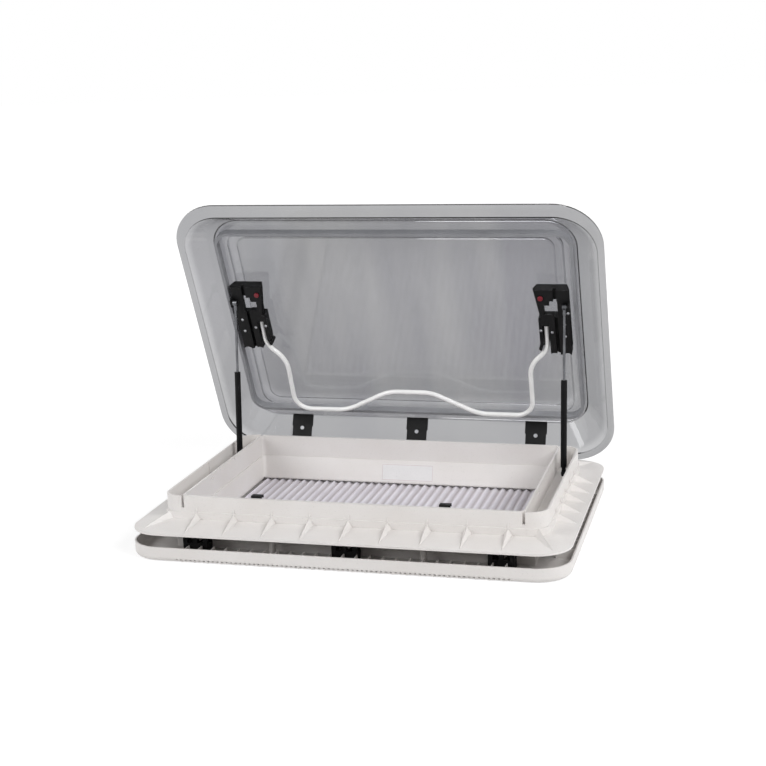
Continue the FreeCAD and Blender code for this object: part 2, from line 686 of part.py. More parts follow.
def ceiling_frame():
    """The indoor frame: a shallow tray with a rounded rim, and the sloping liner up to the roof frame."""
    outside = slab(FLANGE_X, -FLANGE_Y, FLANGE_Y, RIM_CORNER, 0, RIM_TOP)
    bottom_edges = [e for e in outside.Edges if e.BoundBox.ZMax < FREE_GAP]
    outside = outside.makeFillet(RIM_ROUND, bottom_edges)
    in_x = FLANGE_X - RIM_WALL
    in_y = FLANGE_Y - RIM_WALL
    inside = slab(in_x, -in_y, in_y, RIM_CORNER - RIM_WALL, PLATE, RIM_TOP + TOOL_PAST)
    low_edges = [e for e in inside.Edges if e.BoundBox.ZMax < PLATE + FREE_GAP]
    inside = inside.makeFillet(RIM_ROUND - RIM_WALL, low_edges)
    tray = outside.cut(inside)
    core_top = RAIL_TOP + LINER_WALL
    core = box(-INNER_BOX_X, INNER_BOX_X, -INNER_BOX_Y, INNER_BOX_Y, PLATE / 2, core_top)
    core_in_x = INNER_BOX_X - LINER_WALL
    core_in_y = INNER_BOX_Y - LINER_WALL
    core_hollow = box(-core_in_x, core_in_x, -core_in_y, core_in_y, PLATE, RAIL_TOP)
    liner_out = loft(
        rounded_wire(
            LINER_FOOT_X + LINER_WALL, -LINER_FOOT_Y - LINER_WALL, LINER_FOOT_Y + LINER_WALL,
            OPENING_CORNER + LINER_WALL, core_top - LINER_WALL / 2,
        ),
        rounded_wire(
            LINER_TOP_X + LINER_WALL, -LINER_TOP_Y - LINER_WALL, LINER_TOP_Y + LINER_WALL,
            OPENING_CORNER + LINER_WALL, JUNCTION_Z,
        ),
    )
    seat_x = LINER_TOP_X + LINER_SEAT + LINER_WALL
    seat_y = LINER_TOP_Y + LINER_SEAT + LINER_WALL
    seat = slab(seat_x, -seat_y, seat_y, OPENING_CORNER, JUNCTION_Z - LINER_WALL, JUNCTION_Z)
    liner_in = loft(
        rounded_wire(LINER_FOOT_X, -LINER_FOOT_Y, LINER_FOOT_Y, OPENING_CORNER, RAIL_TOP),
        rounded_wire(LINER_TOP_X, -LINER_TOP_Y, LINER_TOP_Y, OPENING_CORNER, JUNCTION_Z),
    )
    mouth = slab(
        LINER_FOOT_X - MOUTH_LIP, MOUTH_LIP - LINER_FOOT_Y, LINER_FOOT_Y - MOUTH_LIP,
        OPENING_CORNER, -TOOL_PAST, PLATE + TOOL_PAST,
    )
    pillars = [upright(x, y, PLATE / 2, CLAMP_TOP_Z, BOSS_RADIUS) for x, y in pillar_places()]
    body = join(tray, [core, liner_out, seat] + pillars + ceiling_ribs())
    body = cut(body, [core_hollow, liner_in, mouth])
    holes = []
    for x, y in pillar_places():
        holes.append(upright(x, y, -TOOL_PAST, CLAMP_TOP_Z + TOOL_PAST, SCREW_RADIUS + RUNNING_FIT))
        holes.append(upright(x, y, -TOOL_PAST, SCREW_HEAD, SCREW_HEAD_RADIUS + RUNNING_FIT))
    reach = int((FLANGE_X - RIM_CORNER - VENT_INSET) / VENT_PITCH)
    for side in (-1, 1):
        for x in both_ways(reach, VENT_PITCH):
            holes.append(box(
                x - VENT_WIDTH / 2, x + VENT_WIDTH / 2, side * (FLANGE_Y - RIM_ROUND),
                side * (FLANGE_Y + TOOL_PAST), VENT_Z, VENT_Z + VENT_HEIGHT,
            ))
    return cut(body, holes)


def clamp_bracket(x, y, out_x, out_y):
    """An E-shaped clamp under the spigot, drawn at the front and turned to its side."""
    half = CLAMP_WIDTH / 2
    inner = BOSS_INSET + BOSS_RADIUS
    base = box(-half, half, -CLAMP_NOSE, inner, CLAMP_BASE_Z, CLAMP_TOP_Z)
    hollow = box(
        CLAMP_WALL - half, half - CLAMP_WALL, CLAMP_WALL - CLAMP_NOSE, inner + TOOL_PAST,
        CLAMP_BASE_Z - TOOL_PAST, CLAMP_TOP_Z - CLAMP_ROOF,
    )
    prongs = [
        box(px - CLAMP_PRONG_WIDTH / 2, px + CLAMP_PRONG_WIDTH / 2, -CLAMP_NOSE, -FREE_GAP,
            CLAMP_TOP_Z - CLAMP_ROOF / 2, CLAMP_PRONG_TOP)
        for px in (CLAMP_PRONG_WIDTH / 2 - half, 0.0, half - CLAMP_PRONG_WIDTH / 2)
    ]
    hole = upright(0, BOSS_INSET, 0, CLAMP_TOP_Z + TOOL_PAST, SCREW_RADIUS + RUNNING_FIT)
    clamp = join(base, prongs).cut(hollow).cut(hole)
    clamp.rotate(Vector(0, 0, 0), Vector(0, 0, 1), math.degrees(math.atan2(out_x, -out_y)))
    clamp.translate(Vector(x + out_x * BOSS_INSET, y + out_y * BOSS_INSET, 0))
    return clamp


def screw(x, y, head_z, tip_z):
    """A pan-headed screw driven upwards, with a cross slot in its head."""
    head = upright(x, y, head_z - SCREW_HEAD, head_z, SCREW_HEAD_RADIUS)
    shank = upright(x, y, head_z - SCREW_HEAD / 4, tip_z, SCREW_RADIUS)
    long = SLOT_LENGTH / 2
    short = SLOT_WIDTH / 2
    z0 = head_z - SCREW_HEAD - TOOL_PAST
    z1 = head_z - SCREW_HEAD / 2
    slots = [
        box(x - long, x + long, y - short, y + short, z0, z1),
        box(x - short, x + short, y - long, y + long, z0, z1),
    ]
    return cut(join(head, [shank]), slots)


def front_catch():
    """A folded catch hooked over the front wall, right-hand one."""
    x0 = CATCH_X - CATCH_WIDTH / 2
    x1 = CATCH_X + CATCH_WIDTH / 2
    inner = -OPENING_Y
    top = COLLAR_TOP + CATCH_RISE
    tip = inner + CATCH_DEPTH
    plate = box(x0, x1, inner, inner + CATCH_SHEET, top - CATCH_HEIGHT, top)
    cap = box(x0, x1, inner, tip, top - CATCH_SHEET, top)
    lip = box(x0, x1, tip - CATCH_SHEET, tip, top - CATCH_LIP, top)
    return join(plate, [cap, lip])


def hinge_x():
    """The hinges' places along the rear side."""
    return (-HINGE_SPACING, 0.0, HINGE_SPACING)


def hinge_screw_places():
    """Two screws behind each hinge base's lugs."""
    reach = KNUCKLE_WIDTH / 2 - SCREW_HEAD_RADIUS
    return [(x + side * reach, BASE_Y + BASE_SCREW_INSET) for x in hinge_x() for side in (-1, 1)]


def hinge_base_seat():
    """The height of the flange's top under the front of a hinge base."""
    share = (FLANGE_Y - BASE_Y) / (FLANGE_Y - LEDGE_Y)
    return FLANGE_EDGE_Z + FLANGE_RISE * share


def hinge_base(x):
    """A base plate on the flange with two lugs that hold the hinge pin."""
    half = STRAP_WIDTH / 2
    seat = hinge_base_seat()
    y1 = BASE_Y + BASE_DEPTH
    lug_in = KNUCKLE_WIDTH / 2 + FREE_GAP
    slope = FLANGE_RISE / (FLANGE_Y - LEDGE_Y)
    rear_seat = seat - slope * BASE_DEPTH
    profile = (
        (BASE_Y, seat),
        (y1, rear_seat),
        (y1, rear_seat + BASE_THICKNESS),
        (BASE_Y, seat + BASE_THICKNESS),
    )
    plate = prism_along_x(profile, x - half, x + half)
    lugs = []
    for side in (-1, 1):
        x0 = x + side * lug_in
        x1 = x + side * (lug_in + LUG_WIDTH)
        lugs.append(crossbar(x0, x1, HINGE_Y, HINGE_Z, KNUCKLE_RADIUS))
        lugs.append(box(x0, x1, HINGE_Y - KNUCKLE_RADIUS, HINGE_Y + KNUCKLE_RADIUS, seat, HINGE_Z))
    holes = [crossbar(x - half, x + half, HINGE_Y, HINGE_Z, PIN_RADIUS)]
    for sx, sy in hinge_screw_places():
        holes.append(upright(sx, sy, ROOF_Z, HINGE_Z, SCREW_RADIUS + RUNNING_FIT))
    return cut(join(plate, lugs), holes)


def hinge_pins():
    """One pin through each hinge."""
    reach = KNUCKLE_WIDTH / 2 + FREE_GAP + LUG_WIDTH
    return group(crossbar(x - reach, x + reach, HINGE_Y, HINGE_Z, PIN_RADIUS) for x in hinge_x())


def hinge_base_screws():
    """Screws down through the hinge bases into the flange."""
    top = hinge_base_seat() + BASE_THICKNESS
    solids = []
    for x, y in hinge_screw_places():
        shank = upright(x, y, FLANGE_EDGE_Z, top + SCREW_HEAD / 4, SCREW_RADIUS)
        head = upright(x, y, top, top + SCREW_HEAD / 2, SCREW_HEAD_RADIUS)
        solids.append(join(head, [shank]))
    return group(solids)


def dome_corner(depth):
    """The dome's corner radius inside its sheet at a depth above the rim plane."""
    return DOME_CORNER_FOOT + (DOME_CORNER_TOP - DOME_CORNER_FOOT) * depth / DOME_HEIGHT


def dome_wire(inset, depth):
    """The dome's outline at a depth above the rim plane, inset from its outer face."""
    half_x = DOME_OUTER_X - inset - DOME_CLOSING_SIDE * depth
    y0 = DOME_FRONT_Y + inset + DOME_CLOSING_FRONT * depth
    y1 = DOME_REAR_Y - inset - DOME_CLOSING_SIDE * depth
    return rounded_wire(half_x, y0, y1, dome_corner(depth) + LID_SHEET - inset, lid_z(depth))


def dome_solid(inset, top, round_radius):
    """The dome as a full block, with its top edge rounded."""
    block = loft(dome_wire(inset, 0.0), dome_wire(inset, top))
    level = lid_z(top)
    edges = [e for e in block.Edges if e.BoundBox.ZMin > level - FREE_GAP]
    return block.makeFillet(round_radius, edges)


def outer_dome():
    """The clear outer shell of the lid, with its flat rim."""
    rim = slab(LID_X, -LID_Y, LID_Y, LID_CORNER, lid_z(0), lid_z(LID_SHEET))
    outside = dome_solid(0.0, DOME_HEIGHT, DOME_TOP_ROUND)
    inside = dome_solid(LID_SHEET, DOME_HEIGHT - LID_SHEET, DOME_TOP_ROUND - LID_SHEET)
    return opened(join(rim, [outside]).cut(inside))


def pane_slab(border, d0, d1):
    """A plate of the inner pane, inset from the pane's edge."""
    corner = dome_corner(PANE_TOP_D) - PANE_CORNER_GAP - PANE_CORNER_CLOSING * border
    return slab(PANE_X - border, PANE_FRONT_Y + border, PANE_REAR_Y - border, corner, lid_z(d0), lid_z(d1))


def inner_pane():
    """The inner pane: a flat border, a step up and a second small step to the field."""
    second = PANE_BORDER + PANE_SECOND_BORDER
    field_d = PANE_D + PANE_STEP
    top_d = field_d + PANE_SECOND_STEP
    solid = join(pane_slab(0, PANE_D, PANE_D + PANE_SHEET), [
        pane_slab(PANE_BORDER, PANE_D, field_d + PANE_SHEET),
        pane_slab(second, PANE_D, top_d + PANE_SHEET),
    ])
    hollow = pane_slab(PANE_BORDER + PANE_SHEET, PANE_D - TOOL_PAST, field_d)
    deep = pane_slab(second + PANE_SHEET, PANE_D, top_d)
    return opened(cut(solid, [hollow, deep]))


def pane_bond():
    """The clear bead that bonds the inner pane's edge to the dome."""
    gap = RUNNING_FIT
    outside = loft(dome_wire(LID_SHEET + gap, PANE_D), dome_wire(LID_SHEET + gap, PANE_TOP_D))
    core = pane_slab(-gap, PANE_D - TOOL_PAST, PANE_TOP_D + TOOL_PAST)
    return opened(outside.cut(core))


def lid_seal():
    """The rubber seal that closes on the collar's top edge."""
    centre_x = COLLAR_X - SIDE_WALL / 2
    centre_y = COLLAR_Y - FRONT_WALL / 2
    half = SEAL_WIDTH / 2
    corner = COLLAR_CORNER
    z0 = COLLAR_TOP + FREE_GAP
    z1 = lid_z(PANE_D)
    outside = slab(centre_x + half, -centre_y - half, centre_y + half, corner, z0, z1)
    inside = slab(
        centre_x - half, half - centre_y, centre_y - half, corner - SEAL_WIDTH,
        z0 - TOOL_PAST, z1 + TOOL_PAST,
    )
    return opened(outside.cut(inside))


def hinge_strap(x):
    """A strap from the hinge knuckle up the inside of the dome's rear wall."""
    half = STRAP_WIDTH / 2

    def wall_y(depth):
        return DOME_REAR_Y - LID_SHEET - RUNNING_FIT - DOME_CLOSING_SIDE * depth

    top = PANE_D - RUNNING_FIT
    profile = (
        (wall_y(0), lid_z(0)),
        (wall_y(top), lid_z(top)),
        (wall_y(top) - STRAP_SHEET, lid_z(top)),
        (wall_y(0) - STRAP_SHEET, lid_z(0)),
    )
    plate = prism_along_x(profile, x - half, x + half)
    neck_half = KNUCKLE_WIDTH / 2
    neck = prism_along_x((
        (wall_y(0), lid_z(0)),
        (wall_y(0) - STRAP_SHEET, lid_z(0)),
        (HINGE_Y - STRAP_NECK / 2, HINGE_Z),
        (HINGE_Y + STRAP_NECK / 2, HINGE_Z),
    ), x - neck_half, x + neck_half)
    knuckle = crossbar(x - neck_half, x + neck_half, HINGE_Y, HINGE_Z, KNUCKLE_RADIUS)
    notches = [
        box(
            x + side * half, x + side * (half - STRAP_NOTCH), HINGE_Y - DOME_HEIGHT, HINGE_Y + DOME_HEIGHT,
            lid_z(0), lid_z(STRAP_NOTCH_D),
        )
        for side in (-1, 1)
    ]
    hole = crossbar(x - half, x + half, HINGE_Y, HINGE_Z, PIN_RADIUS + RUNNING_FIT)
    bore = strap_fastener(x, SCREW_RADIUS + RUNNING_FIT, 0.0, STRAP_SHEET + TOOL_PAST)
    return opened(cut(join(plate, [neck, knuckle]), notches + [hole, bore]))


def strap_fastener(x, radius, start, length):
    """A cylinder square to a strap's inner face, from a height above that face down into it."""
    run = math.hypot(DOME_CLOSING_SIDE, 1.0)
    normal = Vector(0, 1.0 / run, DOME_CLOSING_SIDE / run)
    y = DOME_REAR_Y - LID_SHEET - RUNNING_FIT - DOME_CLOSING_SIDE * STRAP_SCREW_D - STRAP_SHEET
    point = Vector(x, y, lid_z(STRAP_SCREW_D)) - normal * start
    return Part.makeCylinder(radius, length, point, normal)


def strap_screws():
    """One screw through each strap into the dome's rear wall."""
    solids = []
    depth = STRAP_SHEET / math.hypot(DOME_CLOSING_SIDE, 1.0)
    for x in hinge_x():
        head = strap_fastener(x, SCREW_HEAD_RADIUS, SCREW_HEAD / 2, SCREW_HEAD / 2)
        shank = strap_fastener(x, SCREW_RADIUS, SCREW_HEAD / 2, SCREW_HEAD / 2 + depth)
        solids.append(join(head, [shank]))
    return opened(group(solids))


def bow_point(x, distance):
    """A point on the bow's centreline in the closed position."""
    along = BOW_PIVOT_R - distance
    return Vector(x, PIVOT_Y + along, PIVOT_Z - along * math.tan(BOW_SLOPE))


def bent_wire(points, radii):
    """Straight runs joined by tangent arcs, with a radius for each corner."""
    edges = []
    start = points[0]
    for before, corner, after, radius in zip(points, points[1:], points[2:], radii):
        run_in = (before - corner).normalize()
        run_out = (after - corner).normalize()
        half_turn = (math.pi - run_in.getAngle(run_out)) / 2
        setback = radius * math.tan(half_turn)
        first = corner + run_in * setback
        last = corner + run_out * setback
        middle_way = (run_in + run_out).normalize()
        centre = corner + middle_way * (radius / math.cos(half_turn))
        middle = centre - middle_way * radius
        edges.append(Part.makeLine(start, first))
        edges.append(Part.Arc(first, middle, last).toShape())
        start = last
    edges.append(Part.makeLine(start, points[-1]))
    return Part.Wire(edges)


def bow_handle():
    """The bent rod handle, with an eye at each end."""
    half = [
        (BOW_ARM_X, BOW_PIVOT_R + BOW_EYE),
        (BOW_ARM_X, BOW_ARM_R),
        (BOW_HIP_X, BOW_HIP_R),
        (BOW_FOOT_X, BOW_FOOT_R),
        (BOW_RISE_X, BOW_FOOT_R),
        (BOW_CROWN_X, BOW_CROWN_R),
    ]
    points = [bow_point(x, r) for x, r in half]
    points += [bow_point(-x, r) for x, r in reversed(half)]
    bends = [BOW_ARM_BEND, BOW_HIP_BEND, BOW_FOOT_BEND, BOW_RISE_BEND, BOW_CROWN_BEND]
    path = bent_wire(points, bends + bends[::-1])
    direction = points[1] - points[0]
    ring = Part.Wire([Part.makeCircle(BOW_RADIUS, points[0], direction)])
    rod = path.makePipeShell([ring], True, False)
    bore = crossbar(-BRACKET_OUTER_X, BRACKET_OUTER_X, PIVOT_Y, PIVOT_Z, PIN_RADIUS + RUNNING_FIT)
    return opened(rod.cut(bore))


def bow_pivot_pins():
    """The two pins that the bow swings on."""
    x0 = BRACKET_INNER_X + BOW_PIN_RECESS
    x1 = BOW_ARM_X + BOW_PIN_REACH
    pin = crossbar(x0, x1, PIVOT_Y, PIVOT_Z, PIN_RADIUS)
    return opened(group([pin, mirrored(pin)]))


def pane_depth_at(x):
    """How far above the rim plane the inner pane's underside is at a distance from the middle."""
    if x > PANE_X - PANE_BORDER - PANE_SHEET:
        return PANE_D
    if x > PANE_X - PANE_BORDER - PANE_SECOND_BORDER - PANE_SHEET:
        return PANE_D + PANE_STEP
    return PANE_D + PANE_STEP + PANE_SECOND_STEP


def rivet_places():
    """The rivet heads on a bracket's near face, as an X and a distance from the lid's rear edge."""
    places = [(BRACKET_OUTER_X - inset, r) for inset, r in RIVETS_FROM_OUTER]
    places.append((BRACKET_HEAD_X + RIVET_FROM_HEAD[0], RIVET_FROM_HEAD[1]))
    places.append((BRACKET_INNER_X + RIVET_FROM_INNER[0], RIVET_FROM_INNER[1]))
    return places


def bow_corridor():
    """The slot that a bracket leaves round the bow's arm, open towards the near face."""
    z0 = lid_z(0)
    z1 = lid_z(BOW_PIVOT_D + BOW_RADIUS + BOW_SLOT_ROOM)
    path = bent_wire([
        Vector(BOW_ARM_X, lid_y(BOW_SLOT_R), z0),
        Vector(BOW_ARM_X, lid_y(BOW_ARM_R), z0),
        Vector(BOW_HIP_X, lid_y(BOW_HIP_R), z0),
    ], [BOW_ARM_BEND])
    x0 = BOW_ARM_X - BOW_SLOT_HALF
    x1 = BOW_ARM_X + BOW_SLOT_HALF
    y = lid_y(BOW_SLOT_R)
    ring = [Vector(x0, y, z0), Vector(x1, y, z0), Vector(x1, y, z1), Vector(x0, y, z1)]
    return path.makePipeShell([Part.makePolygon(ring + ring[:1])], True, False)


def bracket():
    """The right-hand bracket that carries the bow, the red button and the strut's top stud."""
    near = lid_z(BRACKET_D)
    top = lid_z(PANE_D) - RUNNING_FIT
    chamfer = BRACKET_CHAMFER
    far_in = near - TOOL_PAST
    far_out = top + chamfer

    def block(x0, x1, r0, r1, z0=near, z1=top):
        return box(x0, x1, lid_y(r0), lid_y(r1), z0, z1)

    def outline(inner, distance):
        profile = (
            (inner, near + chamfer),
            (inner + chamfer / 2, near),
            (BRACKET_OUTER_X - chamfer / 2, near),
            (BRACKET_OUTER_X, near + chamfer),
            (BRACKET_OUTER_X - chamfer, top),
            (inner + chamfer, top),
        )
        ring = [Vector(x, lid_y(distance), z) for x, z in profile]
        return Part.makePolygon(ring + ring[:1])

    shoulder = BRACKET_HEAD_X + BRACKET_TAPER
    step_outline = outline(shoulder, BRACKET_STEP_R)
    head = loft(outline(BRACKET_HEAD_X, BRACKET_FRONT_R), step_outline)
    neck = Part.Face(step_outline).extrude(Vector(0, BRACKET_STEP_R - BRACKET_CHEEK_R, 0))
    waist = block(BRACKET_INNER_X, shoulder + chamfer * 2, BRACKET_STEP_R, BRACKET_CHEEK_R)
    slot_in = BOW_ARM_X - BOW_SLOT_HALF
    slot_out = BOW_ARM_X + BOW_SLOT_HALF
    root_r = BRACKET_CHEEK_R + TOOL_PAST
    cheek = block(BRACKET_INNER_X + CHEEK_INSET, slot_in, root_r, CHEEK_END_R)
    knob = upright(slot_in - KNOB_INSET, lid_y(KNOB_R), near, top, KNOB_RADIUS)
    tail = block(slot_out, BRACKET_OUTER_X - BRACKET_TAIL_INSET, root_r, BRACKET_END_R)
    pads = []
    pad_edge = PANE_X - PANE_BORDER - PANE_SHEET - PAD_MARGIN
    pad_step = pad_edge - PANE_SECOND_BORDER
    for x0, x1 in ((pad_step, pad_edge), (shoulder + chamfer, pad_step)):
        pads.append(block(
            x0, x1, BRACKET_FRONT_R - chamfer, BRACKET_END_R + chamfer * 4, top - PAD_MARGIN,
            lid_z(pane_depth_at(x1)) - RUNNING_FIT,
        ))
    lug = block(
        LUG_INNER_X, BRACKET_OUTER_X, STRUT_TOP_R + STUD_LUG, STRUT_TOP_R - STUD_LUG,
        lid_z(STRUT_TOP_D - STUD_LUG_RISE), near + chamfer,
    )
    body = join(head, [neck, waist, cheek, knob, tail, lug] + pads)
    inner_wall = OPENING_X + SIDE_WALL / 2
    groove_half = SIDE_WALL / 2 + COLLAR_GROOVE_GAP
    pocket = near - BUTTON_PROUD + BUTTON_LENGTH + BUTTON_TRAVEL + FREE_GAP
    window = block(*WINDOW_X, *WINDOW_R, far_in, far_out)
    corner_x = WINDOW_X[0] + WINDOW_CORNER[0]
    corner_r = WINDOW_R[0] - WINDOW_CORNER[1]
    undercut = block(
        WINDOW_X[0] - WINDOW_UNDERCUT[0], WINDOW_X[1] + WINDOW_UNDERCUT[1], WINDOW_R[0],
        WINDOW_R[1] - WINDOW_UNDERCUT_R, near + WINDOW_SKIN, far_out,
    )
    tools = [
        bow_corridor(),
        undercut,
        block(inner_wall - groove_half, inner_wall + groove_half, 0, 2 * LID_Y, far_in,
              COLLAR_TOP + COLLAR_GROOVE_GAP),
        window.cut(block(WINDOW_X[0], corner_x, WINDOW_R[0], corner_r, far_in, far_out)),
        crossbar(BRACKET_INNER_X - TOOL_PAST, BOW_ARM_X + BOW_PIN_REACH, PIVOT_Y, PIVOT_Z, PIN_RADIUS),
        upright(BUTTON_X, lid_y(BUTTON_R), far_in, pocket, BUTTON_RADIUS + RUNNING_FIT),
    ]
    for x in (BRACKET_OUTER_X - SCALLOP_OUTER, slot_out + SCALLOP_INNER):
        tools.append(upright(x, lid_y(BRACKET_END_R - SCALLOP_REACH), far_in, far_out, SCALLOP_RADIUS))
    for x, r in rivet_places():
        tools.append(upright(x, lid_y(r), far_in, near + RIVET_LENGTH, RIVET_SHANK + RUNNING_FIT))
    cover = block(slot_in, slot_out, BOW_SLOT_R, BOW_COVER_R, near, near + BOW_COVER)
    return opened(join(cut(body, tools), [cover]))


def bracket_rivets():
    """Rivet heads on both brackets."""
    near = lid_z(BRACKET_D)
    solids = []
    for x, r in rivet_places():
        foot = Vector(x, lid_y(r), near - RIVET_HEAD)
        head = Part.makeCone(RIVET_RADIUS - RIVET_EDGE, RIVET_RADIUS, RIVET_HEAD, foot)
        shank = upright(x, lid_y(r), near - RIVET_HEAD / 2, near + RIVET_LENGTH, RIVET_SHANK)
        solid = join(head, [shank])
        solids += [solid, mirrored(solid)]
    return opened(group(solids))


def red_button():
    """The right-hand release button, a cap on a stem that slides into the bracket."""
    near = lid_z(BRACKET_D)
    z0 = near - BUTTON_PROUD
    cap = upright(BUTTON_X, lid_y(BUTTON_R), z0, z0 + BUTTON_LENGTH, BUTTON_RADIUS)
    edges = [e for e in cap.Edges if e.BoundBox.ZMax < z0 + FREE_GAP]
    return opened(cap.makeFillet(BUTTON_ROUND, edges))


def strut_top_stud():
    """The right-hand stud at the strut's top end, on the bracket's outer lug."""
    x0 = STRUT_X + STRUT_EYE_WIDTH / 2 + FREE_GAP
    return opened(crossbar(x0, LUG_INNER_X, STUD_Y, STUD_Z, STRUT_PIN_RADIUS))


def strut_base_stud():
    """The right-hand stud on the collar wall that the strut turns on."""
    reach = STRUT_EYE_WIDTH / 2 + STUD_REACH / 2
    pin = crossbar(STRUT_X - reach, CHANNEL_OUTER_X, STRUT_PIN_Y, STRUT_PIN_Z, STRUT_PIN_RADIUS)
    flange = crossbar(STRUT_X + reach, CHANNEL_OUTER_X, STRUT_PIN_Y, STRUT_PIN_Z, STRUT_EYE_RADIUS)
    return join(pin, [flange])


def strut_length():
    """The strut's length from pin to stud and its angle above +Y, with the lid open."""
    y, z = opened_point(STUD_Y, STUD_Z)
    dy = y - STRUT_PIN_Y
    dz = z - STRUT_PIN_Z
    return math.hypot(dy, dz), math.degrees(math.atan2(dz, dy))


def placed_on_strut(shape):
    """A piece drawn up along Z from the lower pin, turned to the open strut's line."""
    placed = shape.copy()
    placed.rotate(Vector(0, 0, 0), Vector(1, 0, 0), strut_length()[1] - 90.0)
    placed.translate(Vector(0, STRUT_PIN_Y, STRUT_PIN_Z))
    return placed


def strut_cylinder():
    """The right-hand strut's cylinder with its lower eye."""
    half = STRUT_EYE_WIDTH / 2
    eye = crossbar(STRUT_X - half, STRUT_X + half, 0, 0, STRUT_EYE_RADIUS)
    bore_z = CYLINDER_START + CYLINDER_END_WALL
    gland_z = CYLINDER_LENGTH - GLAND_LENGTH
    neck = upright(STRUT_X, 0, 0, bore_z, CYLINDER_NECK)
    tube = upright(STRUT_X, 0, CYLINDER_START, CYLINDER_LENGTH, CYLINDER_RADIUS)
    hole = crossbar(STRUT_X - half, STRUT_X + half, 0, 0, STRUT_PIN_RADIUS + RUNNING_FIT)
    bore = upright(STRUT_X, 0, bore_z, gland_z, CYLINDER_BORE)
    gland = upright(
        STRUT_X, 0, gland_z - TOOL_PAST, CYLINDER_LENGTH + TOOL_PAST, ROD_RADIUS + RUNNING_FIT,
    )
    return placed_on_strut(cut(join(tube, [neck, eye]), [hole, bore, gland]))


def strut_rod():
    """The right-hand strut's rod, piston and top socket."""
    length = strut_length()[0]
    half = STRUT_EYE_WIDTH / 2
    low = CYLINDER_LENGTH - GLAND_LENGTH - PISTON_LENGTH - PISTON_REST
    rod = upright(STRUT_X, 0, low, length, ROD_RADIUS)
    piston = upright(STRUT_X, 0, low, low + PISTON_LENGTH, CYLINDER_BORE - RUNNING_FIT)
    socket = upright(STRUT_X, 0, length - ROD_SOCKET_LENGTH, length, ROD_SOCKET_RADIUS)
    eye = crossbar(STRUT_X - half, STRUT_X + half, 0, length, STRUT_EYE_RADIUS)
    return placed_on_strut(join(rod, [piston, socket, eye]))


def blind_rail(side):
    """The grooved rail that guides both bars along one long side."""
    half_x = LINER_FOOT_X
    rail = box(-half_x, half_x, side * RAIL_INNER_Y, side * RAIL_OUTER_Y, PLATE, RAIL_TOP)
    groove_y = RAIL_INNER_Y + RAIL_GROOVE
    grooves = []
    for z, height in ((BLIND_Z, BLIND_HEIGHT), (SCREEN_Z, SCREEN_HEIGHT)):
        half = height / 2 + RAIL_GROOVE_GAP
        grooves.append(box(
            -half_x - TOOL_PAST, half_x + TOOL_PAST, side * (RAIL_INNER_Y - TOOL_PAST), side * groove_y,
            z - half, z + half,
        ))
    return cut(rail, grooves)


def cassette(side, level, height):
    """A box along one short side that the folded pleats pack into, open on its own level."""
    x0 = LINER_FOOT_X + FREE_GAP
    x1 = INNER_BOX_X - LINER_WALL - FREE_GAP
    half_y = RAIL_OUTER_Y - FREE_GAP
    shell = box(side * x0, side * x1, -half_y, half_y, PLATE, RAIL_TOP)
    wall = CASSETTE_WALL
    hollow = box(
        side * (x0 + wall), side * (x1 - wall), wall - half_y, half_y - wall, PLATE + wall, RAIL_TOP - wall,
    )
    half = height / 2
    mouth = box(
        side * (x0 - TOOL_PAST), side * (x0 + 2 * wall), wall - half_y, half_y - wall,
        level - half, level + half,
    )
    return cut(shell, [hollow, mouth])


def pleats(x0, x1, pitch, level, height):
    """A zigzag sheet whose folds run along Y, with its edges in the rails."""
    half_y = RAIL_INNER_Y + RAIL_GROOVE - PLEAT_EDGE_GAP
    count = int(round((x1 - x0) / pitch))
    step = (x1 - x0) / count / 2
    low = level - height / 2
    high = level + height / 2 - PLEAT_SHEET
    upper = []
    lower = []
    for index in range(2 * count + 1):
        x = x0 + index * step
        z = high if index % 2 else low
        upper.append(Vector(x, -half_y, z + PLEAT_SHEET))
        lower.append(Vector(x, -half_y, z))
    ring = upper + lower[::-1]
    face = Part.Face(Part.makePolygon(ring + ring[:1]))
    return face.extrude(Vector(0, 2 * half_y, 0))


def bar_x():
    """Where a parked bar's centre is, as a distance from the middle."""
    return LINER_FOOT_X - BAR_END_GAP - BAR_WIDTH / 2


def pleated_blind():
    """The blind, drawn across the whole opening from its cassette on the left."""
    return pleats(-LINER_FOOT_X, bar_x() - BAR_WIDTH / 2, BLIND_PITCH, BLIND_Z, BLIND_HEIGHT)


def pleated_flyscreen():
    """The flyscreen below the blind, drawn across from its cassette on the right."""
    return pleats(BAR_WIDTH / 2 - bar_x(), LINER_FOOT_X, SCREEN_PITCH, SCREEN_Z, SCREEN_HEIGHT)


def pull_bar(x, level, height, grip_side):
    """A bar across the opening, with a grip in its middle."""
    half_y = RAIL_INNER_Y + RAIL_GROOVE - PLEAT_EDGE_GAP
    half = BAR_WIDTH / 2
    bar = box(x - half, x + half, -half_y, half_y, level - height / 2, level + height / 2)
    edges = [e for e in bar.Edges if e.BoundBox.YLength > half_y]
    bar = bar.makeFillet(BAR_ROUND, edges)
    grip_z = level + grip_side * (height / 2 + GRIP_HEIGHT)
    grip = box(
        x - GRIP_THICKNESS / 2, x + GRIP_THICKNESS / 2, -GRIP_LENGTH / 2, GRIP_LENGTH / 2, level, grip_z,
    )
    return join(bar, [grip])


def screw_group(places, head_z, tip_z):
    """The same screw at several places."""
    return group(screw(x, y, head_z, tip_z) for x, y in places)


def export(name, shape):
    """Writes one node after checking that each of its solids is sound."""
    for solid in shape.Solids:
        if not solid.isValid() or solid.Volume <= 0:
            print("unsound solid in", name)
    volume = sum(solid.Volume for solid in shape.Solids)
    print(f"{name}: {len(shape.Solids)} solids, {volume / 1000:.1f} cm3")
    result = shape.Solids[0] if len(shape.Solids) == 1 else group(shape.Solids)
    result.exportStep("parts/" + name + ".step")


